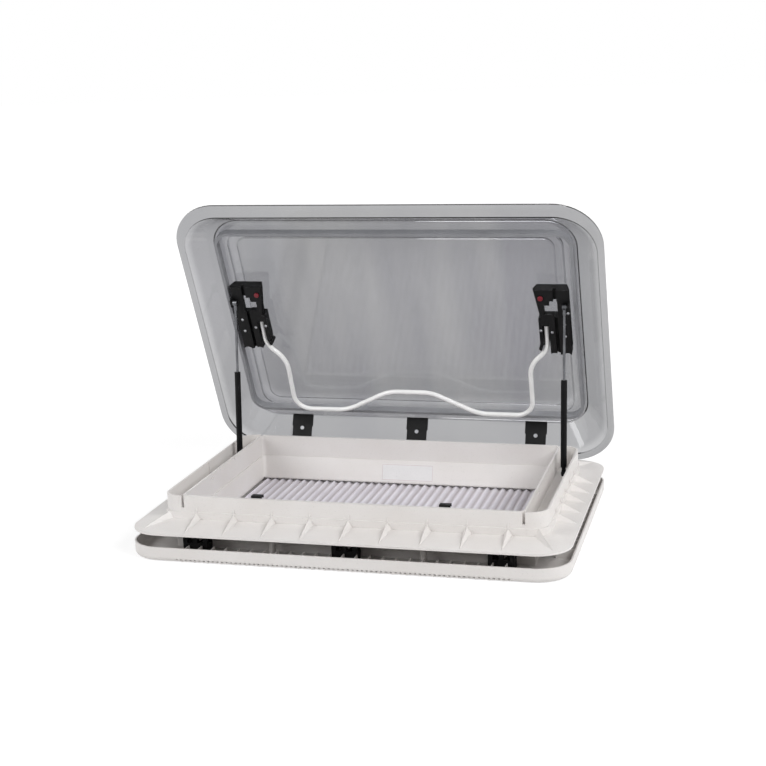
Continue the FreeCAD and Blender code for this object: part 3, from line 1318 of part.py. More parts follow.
def export_pair(name, right):
    """Writes a right-hand piece and its left-hand copy."""
    export(name + "_right", right)
    export(name + "_left", mirrored(right))


def main():
    """Builds and writes every node."""
    os.makedirs("parts", exist_ok=True)
    clamps = boss_places()
    clamp_points = [(x, y) for x, y, _, _ in clamps]
    for name, shape in frame_parts().items():
        export(name, shape)
    export("ceiling_frame", ceiling_frame())
    export("clamp_brackets", group(clamp_bracket(*place) for place in clamps))
    roof = CLAMP_TOP_Z - CLAMP_ROOF
    tip = FLANGE_EDGE_Z - SCREW_SKIN
    export("clamp_screws", screw_group(clamp_points, roof, tip))
    export("ceiling_frame_screws", screw_group(pillar_places(), SCREW_HEAD, tip))
    export_pair("front_catch", front_catch())
    for name, x in zip(("left", "middle", "right"), hinge_x()):
        export("hinge_base_" + name, hinge_base(x))
        export("hinge_strap_" + name, hinge_strap(x))
    export("hinge_pins", hinge_pins())
    export("hinge_base_screws", hinge_base_screws())
    export("strap_screws", strap_screws())
    export("outer_dome", outer_dome())
    export("inner_pane", inner_pane())
    export("pane_bond", pane_bond())
    export("lid_seal", lid_seal())
    export_pair("bow_bracket", bracket())
    export("bracket_rivets", bracket_rivets())
    export("bow_handle", bow_handle())
    export("bow_pivot_pins", bow_pivot_pins())
    export_pair("red_button", red_button())
    export_pair("strut_top_stud", strut_top_stud())
    export_pair("strut_base_stud", strut_base_stud())
    export_pair("strut_cylinder", strut_cylinder())
    export_pair("strut_rod", strut_rod())
    export("blind_rail_front", blind_rail(-1))
    export("blind_rail_back", blind_rail(1))
    export("blind_cassette", cassette(-1, BLIND_Z, BLIND_HEIGHT))
    export("flyscreen_cassette", cassette(1, SCREEN_Z, SCREEN_HEIGHT))
    export("pleated_blind", pleated_blind())
    export("pleated_flyscreen", pleated_flyscreen())
    export("blind_bar", pull_bar(bar_x(), BLIND_Z, BLIND_HEIGHT, 1))
    export("flyscreen_bar", pull_bar(-bar_x(), SCREEN_Z, SCREEN_HEIGHT, -1))
    length, angle = strut_length()
    closed_angle = math.degrees(math.atan2(STUD_Z - STRUT_PIN_Z, STUD_Y - STRUT_PIN_Y))
    print("strut open", length, angle, "closed", STRUT_SHUT, closed_angle)
    print("strut turn ratio", (closed_angle - angle) / OPEN_ANGLE)
    print("bow pivot open", opened_point(PIVOT_Y, PIVOT_Z))


main()
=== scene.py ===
"""Looks of the roof light: materials, pleated fabrics, small pieces, floor, lamps, camera."""

import math
import random

import bmesh
import bpy
from mathutils import Matrix, Vector


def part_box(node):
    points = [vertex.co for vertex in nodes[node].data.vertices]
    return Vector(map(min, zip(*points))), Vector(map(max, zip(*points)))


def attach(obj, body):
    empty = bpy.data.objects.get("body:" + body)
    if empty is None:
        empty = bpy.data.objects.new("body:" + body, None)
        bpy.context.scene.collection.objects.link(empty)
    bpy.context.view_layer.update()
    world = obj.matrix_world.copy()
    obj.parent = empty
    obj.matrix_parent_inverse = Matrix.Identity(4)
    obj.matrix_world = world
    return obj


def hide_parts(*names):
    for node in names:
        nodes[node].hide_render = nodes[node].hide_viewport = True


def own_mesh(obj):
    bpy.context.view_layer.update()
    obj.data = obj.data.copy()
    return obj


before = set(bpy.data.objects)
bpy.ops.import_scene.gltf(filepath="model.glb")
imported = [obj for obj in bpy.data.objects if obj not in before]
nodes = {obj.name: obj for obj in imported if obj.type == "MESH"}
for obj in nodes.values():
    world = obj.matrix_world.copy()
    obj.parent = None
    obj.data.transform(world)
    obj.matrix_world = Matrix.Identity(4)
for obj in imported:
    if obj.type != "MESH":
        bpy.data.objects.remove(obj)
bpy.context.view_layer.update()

# Every length is in metres, and every noise scale is per metre.

# The open lid, and the direction in which its acrylic faces outward
LID_ANGLE = math.radians(64.0)
LID_OUTWARD = Vector((0.0, math.sin(LID_ANGLE), math.cos(LID_ANGLE)))

# Camera: angles in degrees, sensor and lens in millimetres
CAMERA_PLACE = (0.709691, -2.627285, 0.870848)
CAMERA_YAW = 14.88
CAMERA_PITCH = 12.50
CAMERA_ROLL = -1.77
SENSOR = 36.0
LENS = 70.07

# Surroundings: the floor's glow goes from the first value to the second over FLOOR_FADE
WHITE = (1.0, 1.0, 1.0, 1.0)
WORLD_LEVEL = 0.15
FLOOR_RADIUS = 30.0
FLOOR_SIDES = 96
FLOOR_DROP = 0.0004
FLOOR_FADE = (0.8, 3.0)
FLOOR_GLOW = (0.72, 1.0)
FLOOR_SHADE = (0.42, 0.42, 0.42, 1.0)
FLOOR_PAINT = (0.8, 0.8, 0.8, 1.0)

# Lamps: place, target, side and watts
LAMPS = {
    "key_lamp": ((2.3, -1.5, 2.1), (0.0, 0.0, 0.1), 1.5, 64.0),
    "fill_lamp": ((-2.2, -2.0, 1.6), (0.0, 0.0, 0.2), 2.0, 54.0),
    "side_lamp": ((2.8, 0.2, 1.6), (0.0, 0.0, 0.1), 1.4, 16.0),
    "back_lamp": ((0.2, 2.2, 2.6), (0.0, 0.0, 0.1), 1.6, 28.0),
}

# Blender's numbers for the colour sockets of a Mix node
MIX_FIRST, MIX_SECOND, MIX_RESULT = 6, 7, 2

# Noise: its roughness, and the middle of its range, where most of its values lie
NOISE_ROUGHNESS = 0.55
NOISE_MIDDLE = (0.3, 0.7)

# Solid finishes
PATCH_RANGE = (0.32, 0.68)
SPECK_SCALE = 420.0
SPECK_RANGE = (0.62, 0.74)
SPECK_SHARE = 0.5
SPECK_SHADE = 0.82
SMEAR_SCALE = 34.0
SWELL_SCALE = 14.0
SWELL_TO_GRAIN = 6

# Acrylic. Painted shade darkens the formed walls of the lid from WALL_FOOT above its rim to
# WALL_TOP below its flat top, each as two depths between which the painted tone changes.
ACRYLIC_IOR = 1.49
ACRYLIC_GLOSS = 0.38
HAZE_SCALE = 22.0
HAZE_RANGE = (0.3, 0.75)
HAZE_ROUGH = (0.012, 0.045)
STREAK_SCALE = 2.4
STREAK_STRETCH = (3.0, 0.5, 0.5)
STREAK_RANGE = (0.34, 0.66)
WAVE_SCALE = 3.0
WAVE_STRETCH = (22, 0.6, 0.6)
RIPPLE_SCALE = 90.0
RIPPLE_TO_WAVE = 0.04
WALL_FOOT = (0.006, 0.014)
WALL_TOP = (0.016, 0.005)

# Fabrics
BLIND_SHEET = 0.0004
BLIND_PITCH = 0.016
BLIND_SEED = 11
SCREEN_SHEET = 0.0003
SCREEN_PITCH = 0.010
SCREEN_SEED = 23
FOLD_ROUNDING = 0.10
# Heights above the folds' valleys and below their crests over which the painted fold shade fades
FOLD_SHADE_FOOT = 0.0008
FOLD_SHADE_CREST = 0.0006
PLEAT_SHIFT = 0.0005
WOBBLE_SHARE = 0.45
WOBBLE_SPEED = (5, 13)
WOBBLE_RATE = 3
SHEET_ROWS = 25
CLOTH_PATCH = 16.0
CLOTH_ROUGH = (0.74, 0.86)
CLOTH_SHEEN = 0.15
CLOTH_SHEEN_ROUGH = 0.4
FIBRE_SCALE = 60.0
FIBRE_STRETCH = (40, 1.5, 40)
FIBRE_RANGE = (0.56, 0.72)
FIBRE_SHARE = 0.5
WEAVE_SCALE = 650.0
WEAVE_UNEVENNESS = 0.6
WEAVE_HEIGHT = 0.00006
CREASE_SCALE = 45.0
CREASE_HEIGHT = 0.0003
NET_PATCH = 20.0
NET_ROUGH = (0.55, 0.7)
THREAD_SCALE = 160.0
THREAD_EDGE = (0.55, 0.72)
THREAD_HEIGHT = 0.0002

# Bedding pads behind the bow brackets
PAD_SINK = 0.0003
PAD_SHEET = 0.0001
PAD_FLATNESS = 0.00002
PAD_WELD = 0.00001

# Blank label on the rear liner wall
LABEL_X = (-0.0515, 0.0562)
LABEL_Z = (0.0185, 0.0512)
LABEL_CORNER = 0.0015
LABEL_CORNER_LEAST = 0.0004
LABEL_CORNER_STEPS = 4
LABEL_SHEET = 0.0002
LABEL_LINE = 0.0007
LABEL_LINE_INSET = 0.0012
LABEL_LINE_TOP = 1.4 * LABEL_SHEET


def srgb(red, green, blue):
    """A colour in display values of 0 to 255, as the shader's own numbers."""
    return tuple(((c / 255 + 0.055) / 1.055) ** 2.4 for c in (red, green, blue)) + (1.0,)


def new_material(name):
    """A material, its node tree and its main shader."""
    mat = bpy.data.materials.new(name)
    mat.use_nodes = True
    return mat, mat.node_tree, mat.node_tree.nodes["Principled BSDF"]


def add(tree, kind, **values):
    """A node with its settings and the values of its sockets."""
    node = tree.nodes.new(kind)
    for key, value in values.items():
        if hasattr(node, key):
            setattr(node, key, value)
        else:
            node.inputs[key].default_value = value
    return node


def object_place(tree):
    """The place on a piece in its own space."""
    return add(tree, "ShaderNodeTexCoord").outputs["Object"]


def noise(tree, scale, detail, stretch=(1, 1, 1)):
    """A noise in the piece's own space."""
    mapping = add(tree, "ShaderNodeMapping", Scale=stretch)
    texture = add(tree, "ShaderNodeTexNoise", Scale=scale, Detail=detail, Roughness=NOISE_ROUGHNESS)
    tree.links.new(object_place(tree), mapping.inputs["Vector"])
    tree.links.new(mapping.outputs["Vector"], texture.inputs["Vector"])
    return texture.outputs["Fac"]


def spread(tree, value, source, target=(0.0, 1.0)):
    """Turns a value from the source range into the target range."""
    node = add(tree, "ShaderNodeMapRange")
    for name, number in zip(("From Min", "From Max", "To Min", "To Max"), source + target):
        node.inputs[name].default_value = number
    tree.links.new(value, node.inputs["Value"])
    return node.outputs["Result"]


def joined(tree, operation, first, second):
    """Two values joined by a Math node's operation."""
    node = add(tree, "ShaderNodeMath", operation=operation)
    tree.links.new(first, node.inputs[0])
    tree.links.new(second, node.inputs[1])
    return node.outputs[0]


def blended(tree, value, first, second):
    """A colour between two, by a value of 0 to 1. Either may be another node's output."""
    node = add(tree, "ShaderNodeMix", data_type="RGBA")
    tree.links.new(value, node.inputs["Factor"])
    for socket, colour in ((node.inputs[MIX_FIRST], first), (node.inputs[MIX_SECOND], second)):
        if isinstance(colour, tuple):
            socket.default_value = colour
        else:
            tree.links.new(colour, socket)
    return node.outputs[MIX_RESULT]


def mix_shaders(tree, output, value, first, second):
    """Mixes two shaders by a value, for the Surface of the output node."""
    mix = add(tree, "ShaderNodeMixShader")
    for source, socket in zip((value, first, second), mix.inputs):
        tree.links.new(source, socket)
    tree.links.new(mix.outputs[0], tree.nodes[output].inputs["Surface"])


def bumps(tree, shader, layers, edge=0.0):
    """Bumps on top of each other, each a value and its height, over softened edges."""
    normal = None
    if edge:
        normal = add(tree, "ShaderNodeBevel", samples=4, Radius=edge).outputs["Normal"]
    for value, height in layers:
        node = add(tree, "ShaderNodeBump", Strength=1.0, Distance=height)
        tree.links.new(value, node.inputs["Height"])
        if normal is not None:
            tree.links.new(normal, node.inputs["Normal"])
        normal = node.outputs["Normal"]
    tree.links.new(normal, shader.inputs["Normal"])


def solid_finish(name, pale, dark, rough, grain, height, edge=0.0, patch=9.0, metallic=0.0,
                 coat=0.0, stretch=(1, 1, 1), gloss=0.5):
    """A solid finish: patches of two close colours, uneven gloss and a fine grain."""
    mat, tree, shader = new_material(name)
    patches = spread(tree, noise(tree, patch, 5.0), PATCH_RANGE)
    specks = spread(tree, noise(tree, SPECK_SCALE, 2.0), SPECK_RANGE, (0.0, SPECK_SHARE))
    speck = tuple(SPECK_SHADE * c for c in dark[:3]) + (1.0,)
    colour = blended(tree, specks, blended(tree, patches, pale, dark), speck)
    tree.links.new(colour, shader.inputs["Base Color"])
    smears = noise(tree, SMEAR_SCALE, 4.0)
    tree.links.new(spread(tree, smears, NOISE_MIDDLE, rough), shader.inputs["Roughness"])
    shader.inputs["Metallic"].default_value = metallic
    shader.inputs["Coat Weight"].default_value = coat
    shader.inputs["Specular IOR Level"].default_value = gloss
    bumps(tree, shader, [
        (noise(tree, grain, 2.0, stretch), height),
        (noise(tree, SWELL_SCALE, 2.0), height * SWELL_TO_GRAIN),
    ], edge)
    return mat


def acrylic(name, density, tint, wave, clear, dull, wall_shade_colour=None):
    """Clear sheet whose tint grows with the length of the light's way inside it, with painted shade
    on the lid's side walls where a wall colour is given.
    """
    mat, tree, shader = new_material(name)
    streaks = spread(tree, noise(tree, STREAK_SCALE, 3.0, STREAK_STRETCH), STREAK_RANGE)
    tone = blended(tree, streaks, clear, dull)
    # Painted shade: the lid's side walls are darkened towards the given wall colour.
    if wall_shade_colour:
        tone = painted_wall_shade(tree, tone, wall_shade_colour)
    tree.links.new(tone, shader.inputs["Base Color"])
    haze = spread(tree, noise(tree, HAZE_SCALE, 4.0), HAZE_RANGE, HAZE_ROUGH)
    tree.links.new(haze, shader.inputs["Roughness"])
    shader.inputs["Specular IOR Level"].default_value = ACRYLIC_GLOSS
    shader.inputs["Transmission Weight"].default_value = 1.0
    shader.inputs["IOR"].default_value = ACRYLIC_IOR
    bumps(tree, shader, [
        (noise(tree, WAVE_SCALE, 2.0, WAVE_STRETCH), wave),
        (noise(tree, RIPPLE_SCALE, 2.0), wave * RIPPLE_TO_WAVE),
    ])
    shadow = add(tree, "ShaderNodeLightPath").outputs["Is Shadow Ray"]
    through = add(tree, "ShaderNodeBsdfTransparent")
    mix_shaders(tree, "Material Output", shadow, shader.outputs[0], through.outputs[0])
    inside = add(tree, "ShaderNodeVolumeAbsorption", Color=tint, Density=density)
    tree.links.new(inside.outputs[0], tree.nodes["Material Output"].inputs["Volume"])
    return mat


def painted_wall_shade(tree, tone, wall_shade_colour):
    """Painted shade that darkens the drawn side walls of the open lid, between its rim and its flat
    top.
    """
    depths = [LID_OUTWARD.dot(v.co) for v in nodes["outer_dome"].data.vertices]
    low, high = min(depths), max(depths)
    depth = add(tree, "ShaderNodeVectorMath", operation="DOT_PRODUCT")
    tree.links.new(object_place(tree), depth.inputs[0])
    depth.inputs[1].default_value = LID_OUTWARD
    value = depth.outputs["Value"]
    foot = spread(tree, value, (low + WALL_FOOT[0], low + WALL_FOOT[1]))
    top = spread(tree, value, (high - WALL_TOP[0], high - WALL_TOP[1]), (1.0, 0.0))
    darker = add(tree, "ShaderNodeMix", data_type="RGBA", blend_type="MULTIPLY")
    darker.inputs["Factor"].default_value = 1.0
    tree.links.new(tone, darker.inputs[MIX_FIRST])
    darker.inputs[MIX_SECOND].default_value = wall_shade_colour
    walls = joined(tree, "MULTIPLY", foot, top)
    return blended(tree, walls, tone, darker.outputs[MIX_RESULT])


def pleated_cloth():
    """White blackout fabric with a fine weave, and painted shade that greys the folds towards their
    valleys.
    """
    mat, tree, shader = new_material("blind_cloth")
    patches = spread(tree, noise(tree, CLOTH_PATCH, 5.0), NOISE_MIDDLE)
    low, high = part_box("pleated_blind")
    place = add(tree, "ShaderNodeSeparateXYZ")
    tree.links.new(object_place(tree), place.inputs[0])
    # Painted shade: the folds grey from their crests down into their valleys.
    depth = spread(tree, place.outputs["Z"], (low.z + FOLD_SHADE_FOOT, high.z - FOLD_SHADE_CREST))
    ridge = blended(tree, patches, srgb(232, 229, 236), srgb(219, 215, 223))
    folds = blended(tree, depth, srgb(184, 177, 181), ridge)
    fibres = noise(tree, FIBRE_SCALE, 3.0, FIBRE_STRETCH)
    fibres = spread(tree, fibres, FIBRE_RANGE, (0.0, FIBRE_SHARE))
    colour = blended(tree, fibres, folds, srgb(198, 193, 200))
    tree.links.new(colour, shader.inputs["Base Color"])
    rough = spread(tree, patches, (0.0, 1.0), CLOTH_ROUGH)
    tree.links.new(rough, shader.inputs["Roughness"])
    shader.inputs["Sheen Weight"].default_value = CLOTH_SHEEN
    shader.inputs["Sheen Roughness"].default_value = CLOTH_SHEEN_ROUGH
    threads = []
    for direction in ("X", "Y"):
        wave = add(tree, "ShaderNodeTexWave", Scale=WEAVE_SCALE, Distortion=WEAVE_UNEVENNESS,
                   bands_direction=direction)
        tree.links.new(object_place(tree), wave.inputs["Vector"])
        threads.append(wave.outputs["Fac"])
    weave = joined(tree, "MULTIPLY", *threads)
    bumps(tree, shader, [
        (weave, WEAVE_HEIGHT),
        (noise(tree, CREASE_SCALE, 3.0), CREASE_HEIGHT),
    ])
    return mat


def insect_net():
    """Grey net of fine threads, open between them."""
    mat, tree, shader = new_material("insect_net")
    coords = add(tree, "ShaderNodeTexCoord")
    threads = []
    for direction in ("X", "Y"):
        wave = add(tree, "ShaderNodeTexWave", Scale=THREAD_SCALE, Distortion=0.0,
                   bands_direction=direction)
        tree.links.new(coords.outputs["UV"], wave.inputs["Vector"])
        threads.append(spread(tree, wave.outputs["Fac"], THREAD_EDGE))
    net = joined(tree, "MAXIMUM", *threads)
    patches = spread(tree, noise(tree, NET_PATCH, 4.0), NOISE_MIDDLE)
    colour = blended(tree, patches, srgb(92, 93, 95), srgb(74, 75, 78))
    tree.links.new(colour, shader.inputs["Base Color"])
    rough = spread(tree, patches, (0.0, 1.0), NET_ROUGH)
    tree.links.new(rough, shader.inputs["Roughness"])
    bumps(tree, shader, [(net, THREAD_HEIGHT)])
    gaps = add(tree, "ShaderNodeBsdfTransparent")
    mix_shaders(tree, "Material Output", net, gaps.outputs[0], shader.outputs[0])
    return mat


SOLID_FINISHES = {
    "white_plastic": dict(
        pale=srgb(229, 226, 224), dark=srgb(224, 220, 217), rough=(0.30, 0.44),
        grain=1700.0, height=0.00003, edge=0.0009,
    ),
    "black_plastic": dict(
        pale=srgb(16, 16, 17), dark=srgb(9, 9, 10), rough=(0.46, 0.62),
        grain=1500.0, height=0.00006, edge=0.0006, patch=20.0, gloss=0.2,
    ),
    "red_plastic": dict(
        pale=srgb(126, 16, 34), dark=srgb(104, 11, 26), rough=(0.28, 0.40),
        grain=900.0, height=0.00003, edge=0.0004, patch=60.0,
    ),
    "seal_rubber": dict(
        pale=srgb(152, 153, 157), dark=srgb(140, 141, 145), rough=(0.55, 0.75),
        grain=1300.0, height=0.00008, patch=24.0,
    ),
    "white_enamel": dict(
        pale=srgb(250, 250, 249), dark=srgb(243, 243, 242), rough=(0.20, 0.32),
        grain=900.0, height=0.00005, patch=18.0, coat=0.3,
    ),
    "black_enamel": dict(
        pale=srgb(11, 11, 13), dark=srgb(7, 7, 8), rough=(0.36, 0.50),
        grain=700.0, height=0.00003, edge=0.0005, patch=30.0, gloss=0.12,
    ),
    "bright_steel": dict(
        pale=srgb(110, 111, 114), dark=srgb(88, 89, 92), rough=(0.22, 0.36),
        grain=900.0, height=0.00002, patch=40.0, metallic=1.0, stretch=(1, 1, 6),
    ),
    "zinc_steel": dict(
        pale=srgb(168, 169, 172), dark=srgb(142, 143, 147), rough=(0.34, 0.50),
        grain=1100.0, height=0.00004, edge=0.0004, patch=90.0, metallic=1.0,
    ),
    "label_paper": dict(
        pale=srgb(229, 228, 228), dark=srgb(223, 222, 222), rough=(0.34, 0.46),
        grain=900.0, height=0.00001, patch=30.0,
    ),
    "label_line": dict(
        pale=srgb(212, 196, 194), dark=srgb(204, 188, 187), rough=(0.40, 0.55),
        grain=900.0, height=0.00001, patch=30.0,
    ),
}

FINISHES = {name: solid_finish(name, **looks) for name, looks in SOLID_FINISHES.items()}
# The tinted acrylic's last colour is painted shade for the lid's side walls.
FINISHES["tinted_acrylic"] = acrylic(
    "tinted_acrylic", density=232.0, tint=(0.0, 0.004, 0.02, 1.0), wave=0.00006,
    clear=srgb(255, 255, 255), dull=srgb(246, 246, 248), wall_shade_colour=srgb(226, 226, 227),
)
FINISHES["pane_acrylic"] = acrylic(
    "pane_acrylic", density=75.0, tint=(0.0, 0.006, 0.03, 1.0), wave=0.00008,
    clear=srgb(255, 255, 255), dull=srgb(237, 237, 240),
)
FINISHES["blind_fabric"] = pleated_cloth()
FINISHES["screen_net"] = insect_net()


def dress_nodes():
    """Gives every node of the part the finish of its slot, and white plastic where it has none."""
    for object_ in nodes.values():
        for place in object_.material_slots:
            name = place.material.name.split(".")[0] if place.material else ""
            finish = next((f for f in FINISHES if name.endswith(f)), "white_plastic")
            place.material = FINISHES[finish]


def piece(name, mesh_maker, finish, body, smooth=True):
    """A mesh object made by mesh_maker in a bmesh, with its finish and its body."""
    mesh = bpy.data.meshes.new(name)
    work = bmesh.new()
    mesh_maker(work)
    work.to_mesh(mesh)
    work.free()
    if smooth:
        mesh.polygons.foreach_set("use_smooth", [True] * len(mesh.polygons))
    object_ = bpy.data.objects.new(name, mesh)
    bpy.context.scene.collection.objects.link(object_)
    mesh.materials.append(FINISHES[finish])
    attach(object_, body)
    return object_


def fold_line(start, end, pitch, level, height, seed):
    """Points of a pleated sheet's cross-section, with rounded folds that differ a little."""
    count = int(round((end - start) / pitch))
    step = (end - start) / count / 2
    chance = random.Random(seed)
    corners = []
    for index in range(2 * count + 1):
        x = start + index * step
        if 0 < index < 2 * count:
            x += chance.uniform(-PLEAT_SHIFT, PLEAT_SHIFT)
        side = height / 2 if index % 2 else -height / 2
        z = level + side + chance.uniform(-0.5, 0.5) * PLEAT_SHIFT
        corners.append(Vector((x, 0.0, min(max(z, level - height / 2), level + height / 2))))
    line = [corners[0]]
    for before, here, after in zip(corners, corners[1:], corners[2:]):
        a = here.lerp(before, FOLD_ROUNDING)
        b = here.lerp(after, FOLD_ROUNDING)
        line += [a, (a + b + 2 * here) / 4, b]
    line.append(corners[-1])
    return line


def pleated_piece(name, node, pitch, sheet, finish, seed):
    """A pleated sheet that stands for a node."""
    low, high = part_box(node)
    level = (low.z + high.z) / 2
    line = fold_line(low.x, high.x, pitch, level, high.z - low.z - sheet, seed)
    chance = random.Random(seed + 1)
    waves = [(chance.uniform(0, math.tau), chance.uniform(*WOBBLE_SPEED)) for _ in line]

    def build(work):
        columns = []
        along = 0.0
        uv_of = {}
        for index, point in enumerate(line):
            along += (point - line[index - 1]).length if index else 0.0
            phase, speed = waves[index]
            column = []
            for step in range(SHEET_ROWS):
                y = low.y + (high.y - low.y) * step / (SHEET_ROWS - 1)
                wobble = PLEAT_SHIFT * WOBBLE_SHARE * math.sin(phase + speed * y * WOBBLE_RATE)
                if index in (0, len(line) - 1):
                    wobble = 0.0
                vertex = work.verts.new((point.x + wobble, y, point.z))
                uv_of[vertex] = (along, y)
                column.append(vertex)
            columns.append(column)
        layer = work.loops.layers.uv.new("sheet")
        for left, right in zip(columns, columns[1:]):
            for a, b, c, d in zip(left, right, right[1:], left[1:]):
                face = work.faces.new((a, b, c, d))
                for corner in face.loops:
                    corner[layer].uv = uv_of[corner.vert]

    object_ = piece(name, build, finish, "frame")
    thick = object_.modifiers.new("thickness", "SOLIDIFY")
    thick.thickness = sheet
    thick.offset = 0.0
    graph = bpy.context.evaluated_depsgraph_get()
    final = bpy.data.meshes.new_from_object(object_.evaluated_get(graph))
    object_.modifiers.clear()
    object_.data = final
    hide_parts(node)
    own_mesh(object_)


def fabrics():
    """The blind and the flyscreen."""
    pleated_piece(
        "blind_cloth", "pleated_blind", BLIND_PITCH, BLIND_SHEET, "blind_fabric",
        BLIND_SEED,
    )
    pleated_piece(
        "flyscreen_net", "pleated_flyscreen", SCREEN_PITCH, SCREEN_SHEET, "screen_net",
        SCREEN_SEED,
    )


def pad(side):
    """A thin pad that beds one bow bracket in the pane's face."""
    mesh = nodes[f"bow_bracket_{side}"].data
    far = max(LID_OUTWARD.dot(v.co) for v in mesh.vertices)
    flat = [f for f in mesh.polygons if abs(LID_OUTWARD.dot(f.center) - far) < PAD_FLATNESS]

    def build(work):
        made = {}
        for face in flat:
            for index in face.vertices:
                if index not in made:
                    place = mesh.vertices[index].co + LID_OUTWARD * PAD_SINK
                    made[index] = work.verts.new(place)
            work.faces.new([made[index] for index in face.vertices])
        bmesh.ops.remove_doubles(work, verts=work.verts, dist=PAD_WELD)
        faces = list(work.faces)
        bmesh.ops.recalc_face_normals(work, faces=faces)
        bmesh.ops.solidify(work, geom=faces, thickness=PAD_SHEET)

    piece(f"bracket_pad_{side}", build, "black_plastic", "lid", smooth=False)


def on_liner(x, z):
    """The place on the rear liner wall at x and z, and the wall's direction there."""
    wall = nodes["ceiling_frame"]
    _, place, normal, _ = wall.ray_cast(Vector((x, 0.0, z)), Vector((0.0, 1.0, 0.0)))
    return place, normal.normalized()


def label_outline(inset):
    """Points of the label's outline with rounded corners, as x and z."""
    corner = max(LABEL_CORNER - inset, LABEL_CORNER_LEAST)
    points = []
    for quarter, (side_x, side_z) in enumerate(((1, 1), (-1, 1), (-1, -1), (1, -1))):
        x = LABEL_X[side_x > 0] - side_x * (inset + corner)
        z = LABEL_Z[side_z > 0] - side_z * (inset + corner)
        for step in range(LABEL_CORNER_STEPS + 1):
            angle = (quarter + step / LABEL_CORNER_STEPS) * math.pi / 2
            points.append((x + corner * math.cos(angle), z + corner * math.sin(angle)))
    return points


def label_ring(work, inset, lift):
    """A ring of points inside the label's outline, lifted off the liner wall."""
    ring = []
    for x, z in label_outline(inset):
        place, normal = on_liner(x, z)
        ring.append(work.verts.new(place + normal * lift))
    return ring


def strip(work, first, second):
    """A closed strip of faces between two rings."""
    for i in range(len(first)):
        k = (i + 1) % len(first)
        work.faces.new((first[i], first[k], second[k], second[i]))


def label():
    """A blank white label with a faint printed frame on the rear liner wall."""
    def paper(work):
        back = label_ring(work, 0.0, 0.0)
        front = label_ring(work, 0.0, LABEL_SHEET)
        work.faces.new(back[::-1])
        work.faces.new(front)
        strip(work, back, front)
        bmesh.ops.recalc_face_normals(work, faces=work.faces)

    def line(work):
        outer = [label_ring(work, LABEL_LINE_INSET, lift) for lift in (LABEL_SHEET, LABEL_LINE_TOP)]
        inner = [label_ring(work, LABEL_LINE_INSET + LABEL_LINE, lift)
                 for lift in (LABEL_SHEET, LABEL_LINE_TOP)]
        rings = outer + inner[::-1]
        for first, second in zip(rings, rings[1:] + rings[:1]):
            strip(work, first, second)
        bmesh.ops.recalc_face_normals(work, faces=work.faces)

    piece("label_sheet", paper, "label_paper", "frame", smooth=False)
    piece("label_frame", line, "label_line", "frame", smooth=False)


def lamp(name, place, target, side, power):
    """A soft square lamp that shines at its target."""
    data = bpy.data.lights.new(name, "AREA")
    data.shape = "SQUARE"
    data.size = side
    data.energy = power
    object_ = bpy.data.objects.new(name, data)
    object_.location = place
    way = Vector(target) - Vector(place)
    object_.rotation_euler = way.to_track_quat("-Z", "Y").to_euler()
    bpy.context.scene.collection.objects.link(object_)


def seen_by_eye(tree):
    """1 for rays that show the background: straight from the eye, mirrored or through glass."""
    path = add(tree, "ShaderNodeLightPath").outputs
    seen = joined(tree, "MAXIMUM", path["Is Camera Ray"], path["Is Glossy Ray"])
    return joined(tree, "MAXIMUM", seen, path["Is Transmission Ray"])


def surroundings():
    """A world that looks white and lights the object weakly."""
    world = bpy.data.worlds.new("surroundings")
    bpy.context.scene.world = world
    world.use_nodes = True
    tree = world.node_tree
    dim = tree.nodes["Background"]
    dim.inputs["Color"].default_value = WHITE
    dim.inputs["Strength"].default_value = WORLD_LEVEL
    white = add(tree, "ShaderNodeBackground", Color=WHITE, Strength=1.0)
    mix_shaders(tree, "World Output", seen_by_eye(tree), dim.outputs[0], white.outputs[0])


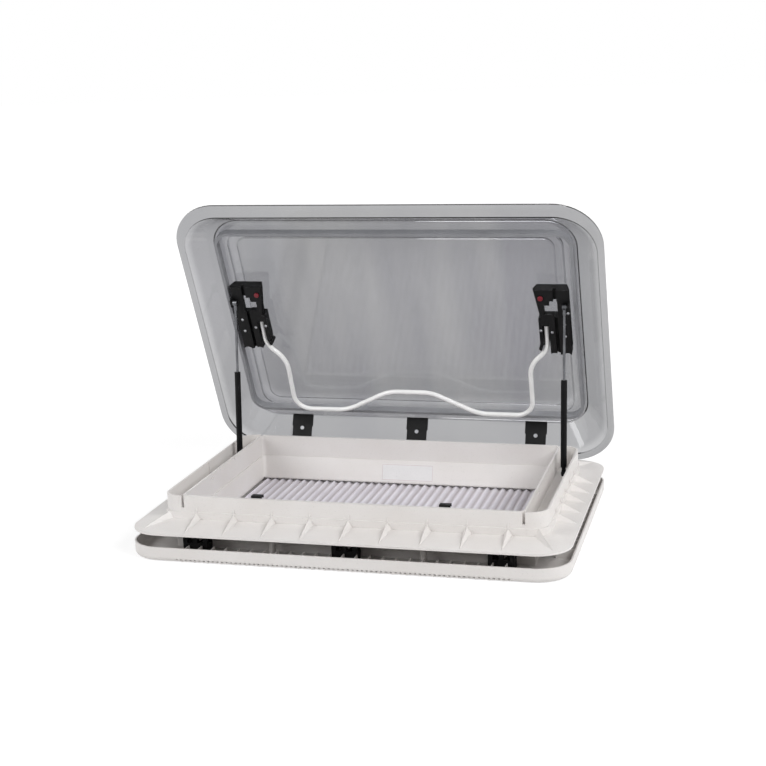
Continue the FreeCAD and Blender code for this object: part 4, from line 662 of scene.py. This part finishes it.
def floor_paint():
    """A pale floor for the eye that fades into white with its distance and keeps shadows."""
    mat, tree, shader = new_material("floor_paint")
    tree.nodes.remove(shader)
    away = add(tree, "ShaderNodeVectorMath", operation="LENGTH")
    tree.links.new(object_place(tree), away.inputs[0])
    glow = add(tree, "ShaderNodeEmission", Color=WHITE)
    level = spread(tree, away.outputs["Value"], FLOOR_FADE, FLOOR_GLOW)
    tree.links.new(level, glow.inputs["Strength"])
    shade = add(tree, "ShaderNodeBsdfDiffuse", Color=FLOOR_SHADE)
    paint = add(tree, "ShaderNodeBsdfDiffuse", Color=FLOOR_PAINT)
    shown = add(tree, "ShaderNodeAddShader")
    tree.links.new(glow.outputs[0], shown.inputs[0])
    tree.links.new(shade.outputs[0], shown.inputs[1])
    mix_shaders(tree, "Material Output", seen_by_eye(tree), paint.outputs[0], shown.outputs[0])
    return mat


def studio():
    """White surroundings, a pale floor that keeps a soft shadow, and the lamps."""
    surroundings()
    mesh = bpy.data.meshes.new("floor")
    work = bmesh.new()
    bmesh.ops.create_circle(work, cap_ends=True, segments=FLOOR_SIDES, radius=FLOOR_RADIUS)
    work.to_mesh(mesh)
    work.free()
    mesh.materials.append(floor_paint())
    floor = bpy.data.objects.new("floor", mesh)
    floor.location.z = -FLOOR_DROP
    bpy.context.scene.collection.objects.link(floor)
    for name, (place, target, side, power) in LAMPS.items():
        lamp(name, place, target, side, power)


def eye_axes():
    """The camera's right, up and forward directions."""
    yaw, pitch, roll = (math.radians(a) for a in (CAMERA_YAW, CAMERA_PITCH, CAMERA_ROLL))
    level = Vector((math.cos(yaw), math.sin(yaw), 0.0))
    across = math.cos(pitch)
    ahead = Vector((-math.sin(yaw) * across, math.cos(yaw) * across, -math.sin(pitch)))
    above = level.cross(ahead)
    right = level * math.cos(roll) + above * math.sin(roll)
    up = above * math.cos(roll) - level * math.sin(roll)
    return right, up, ahead


def camera():
    """The eye at the photograph's place."""
    right, up, ahead = eye_axes()
    turn = Matrix((right, up, -ahead)).transposed().to_4x4()
    data = bpy.data.cameras.new("eye")
    data.sensor_width = SENSOR
    data.lens = LENS
    object_ = bpy.data.objects.new("eye", data)
    object_.matrix_world = Matrix.Translation(CAMERA_PLACE) @ turn
    bpy.context.scene.collection.objects.link(object_)
    bpy.context.scene.camera = object_


camera()
dress_nodes()
fabrics()
for side in ("left", "right"):
    pad(side)
label()
studio()
bpy.context.scene.view_settings.view_transform = "Standard"
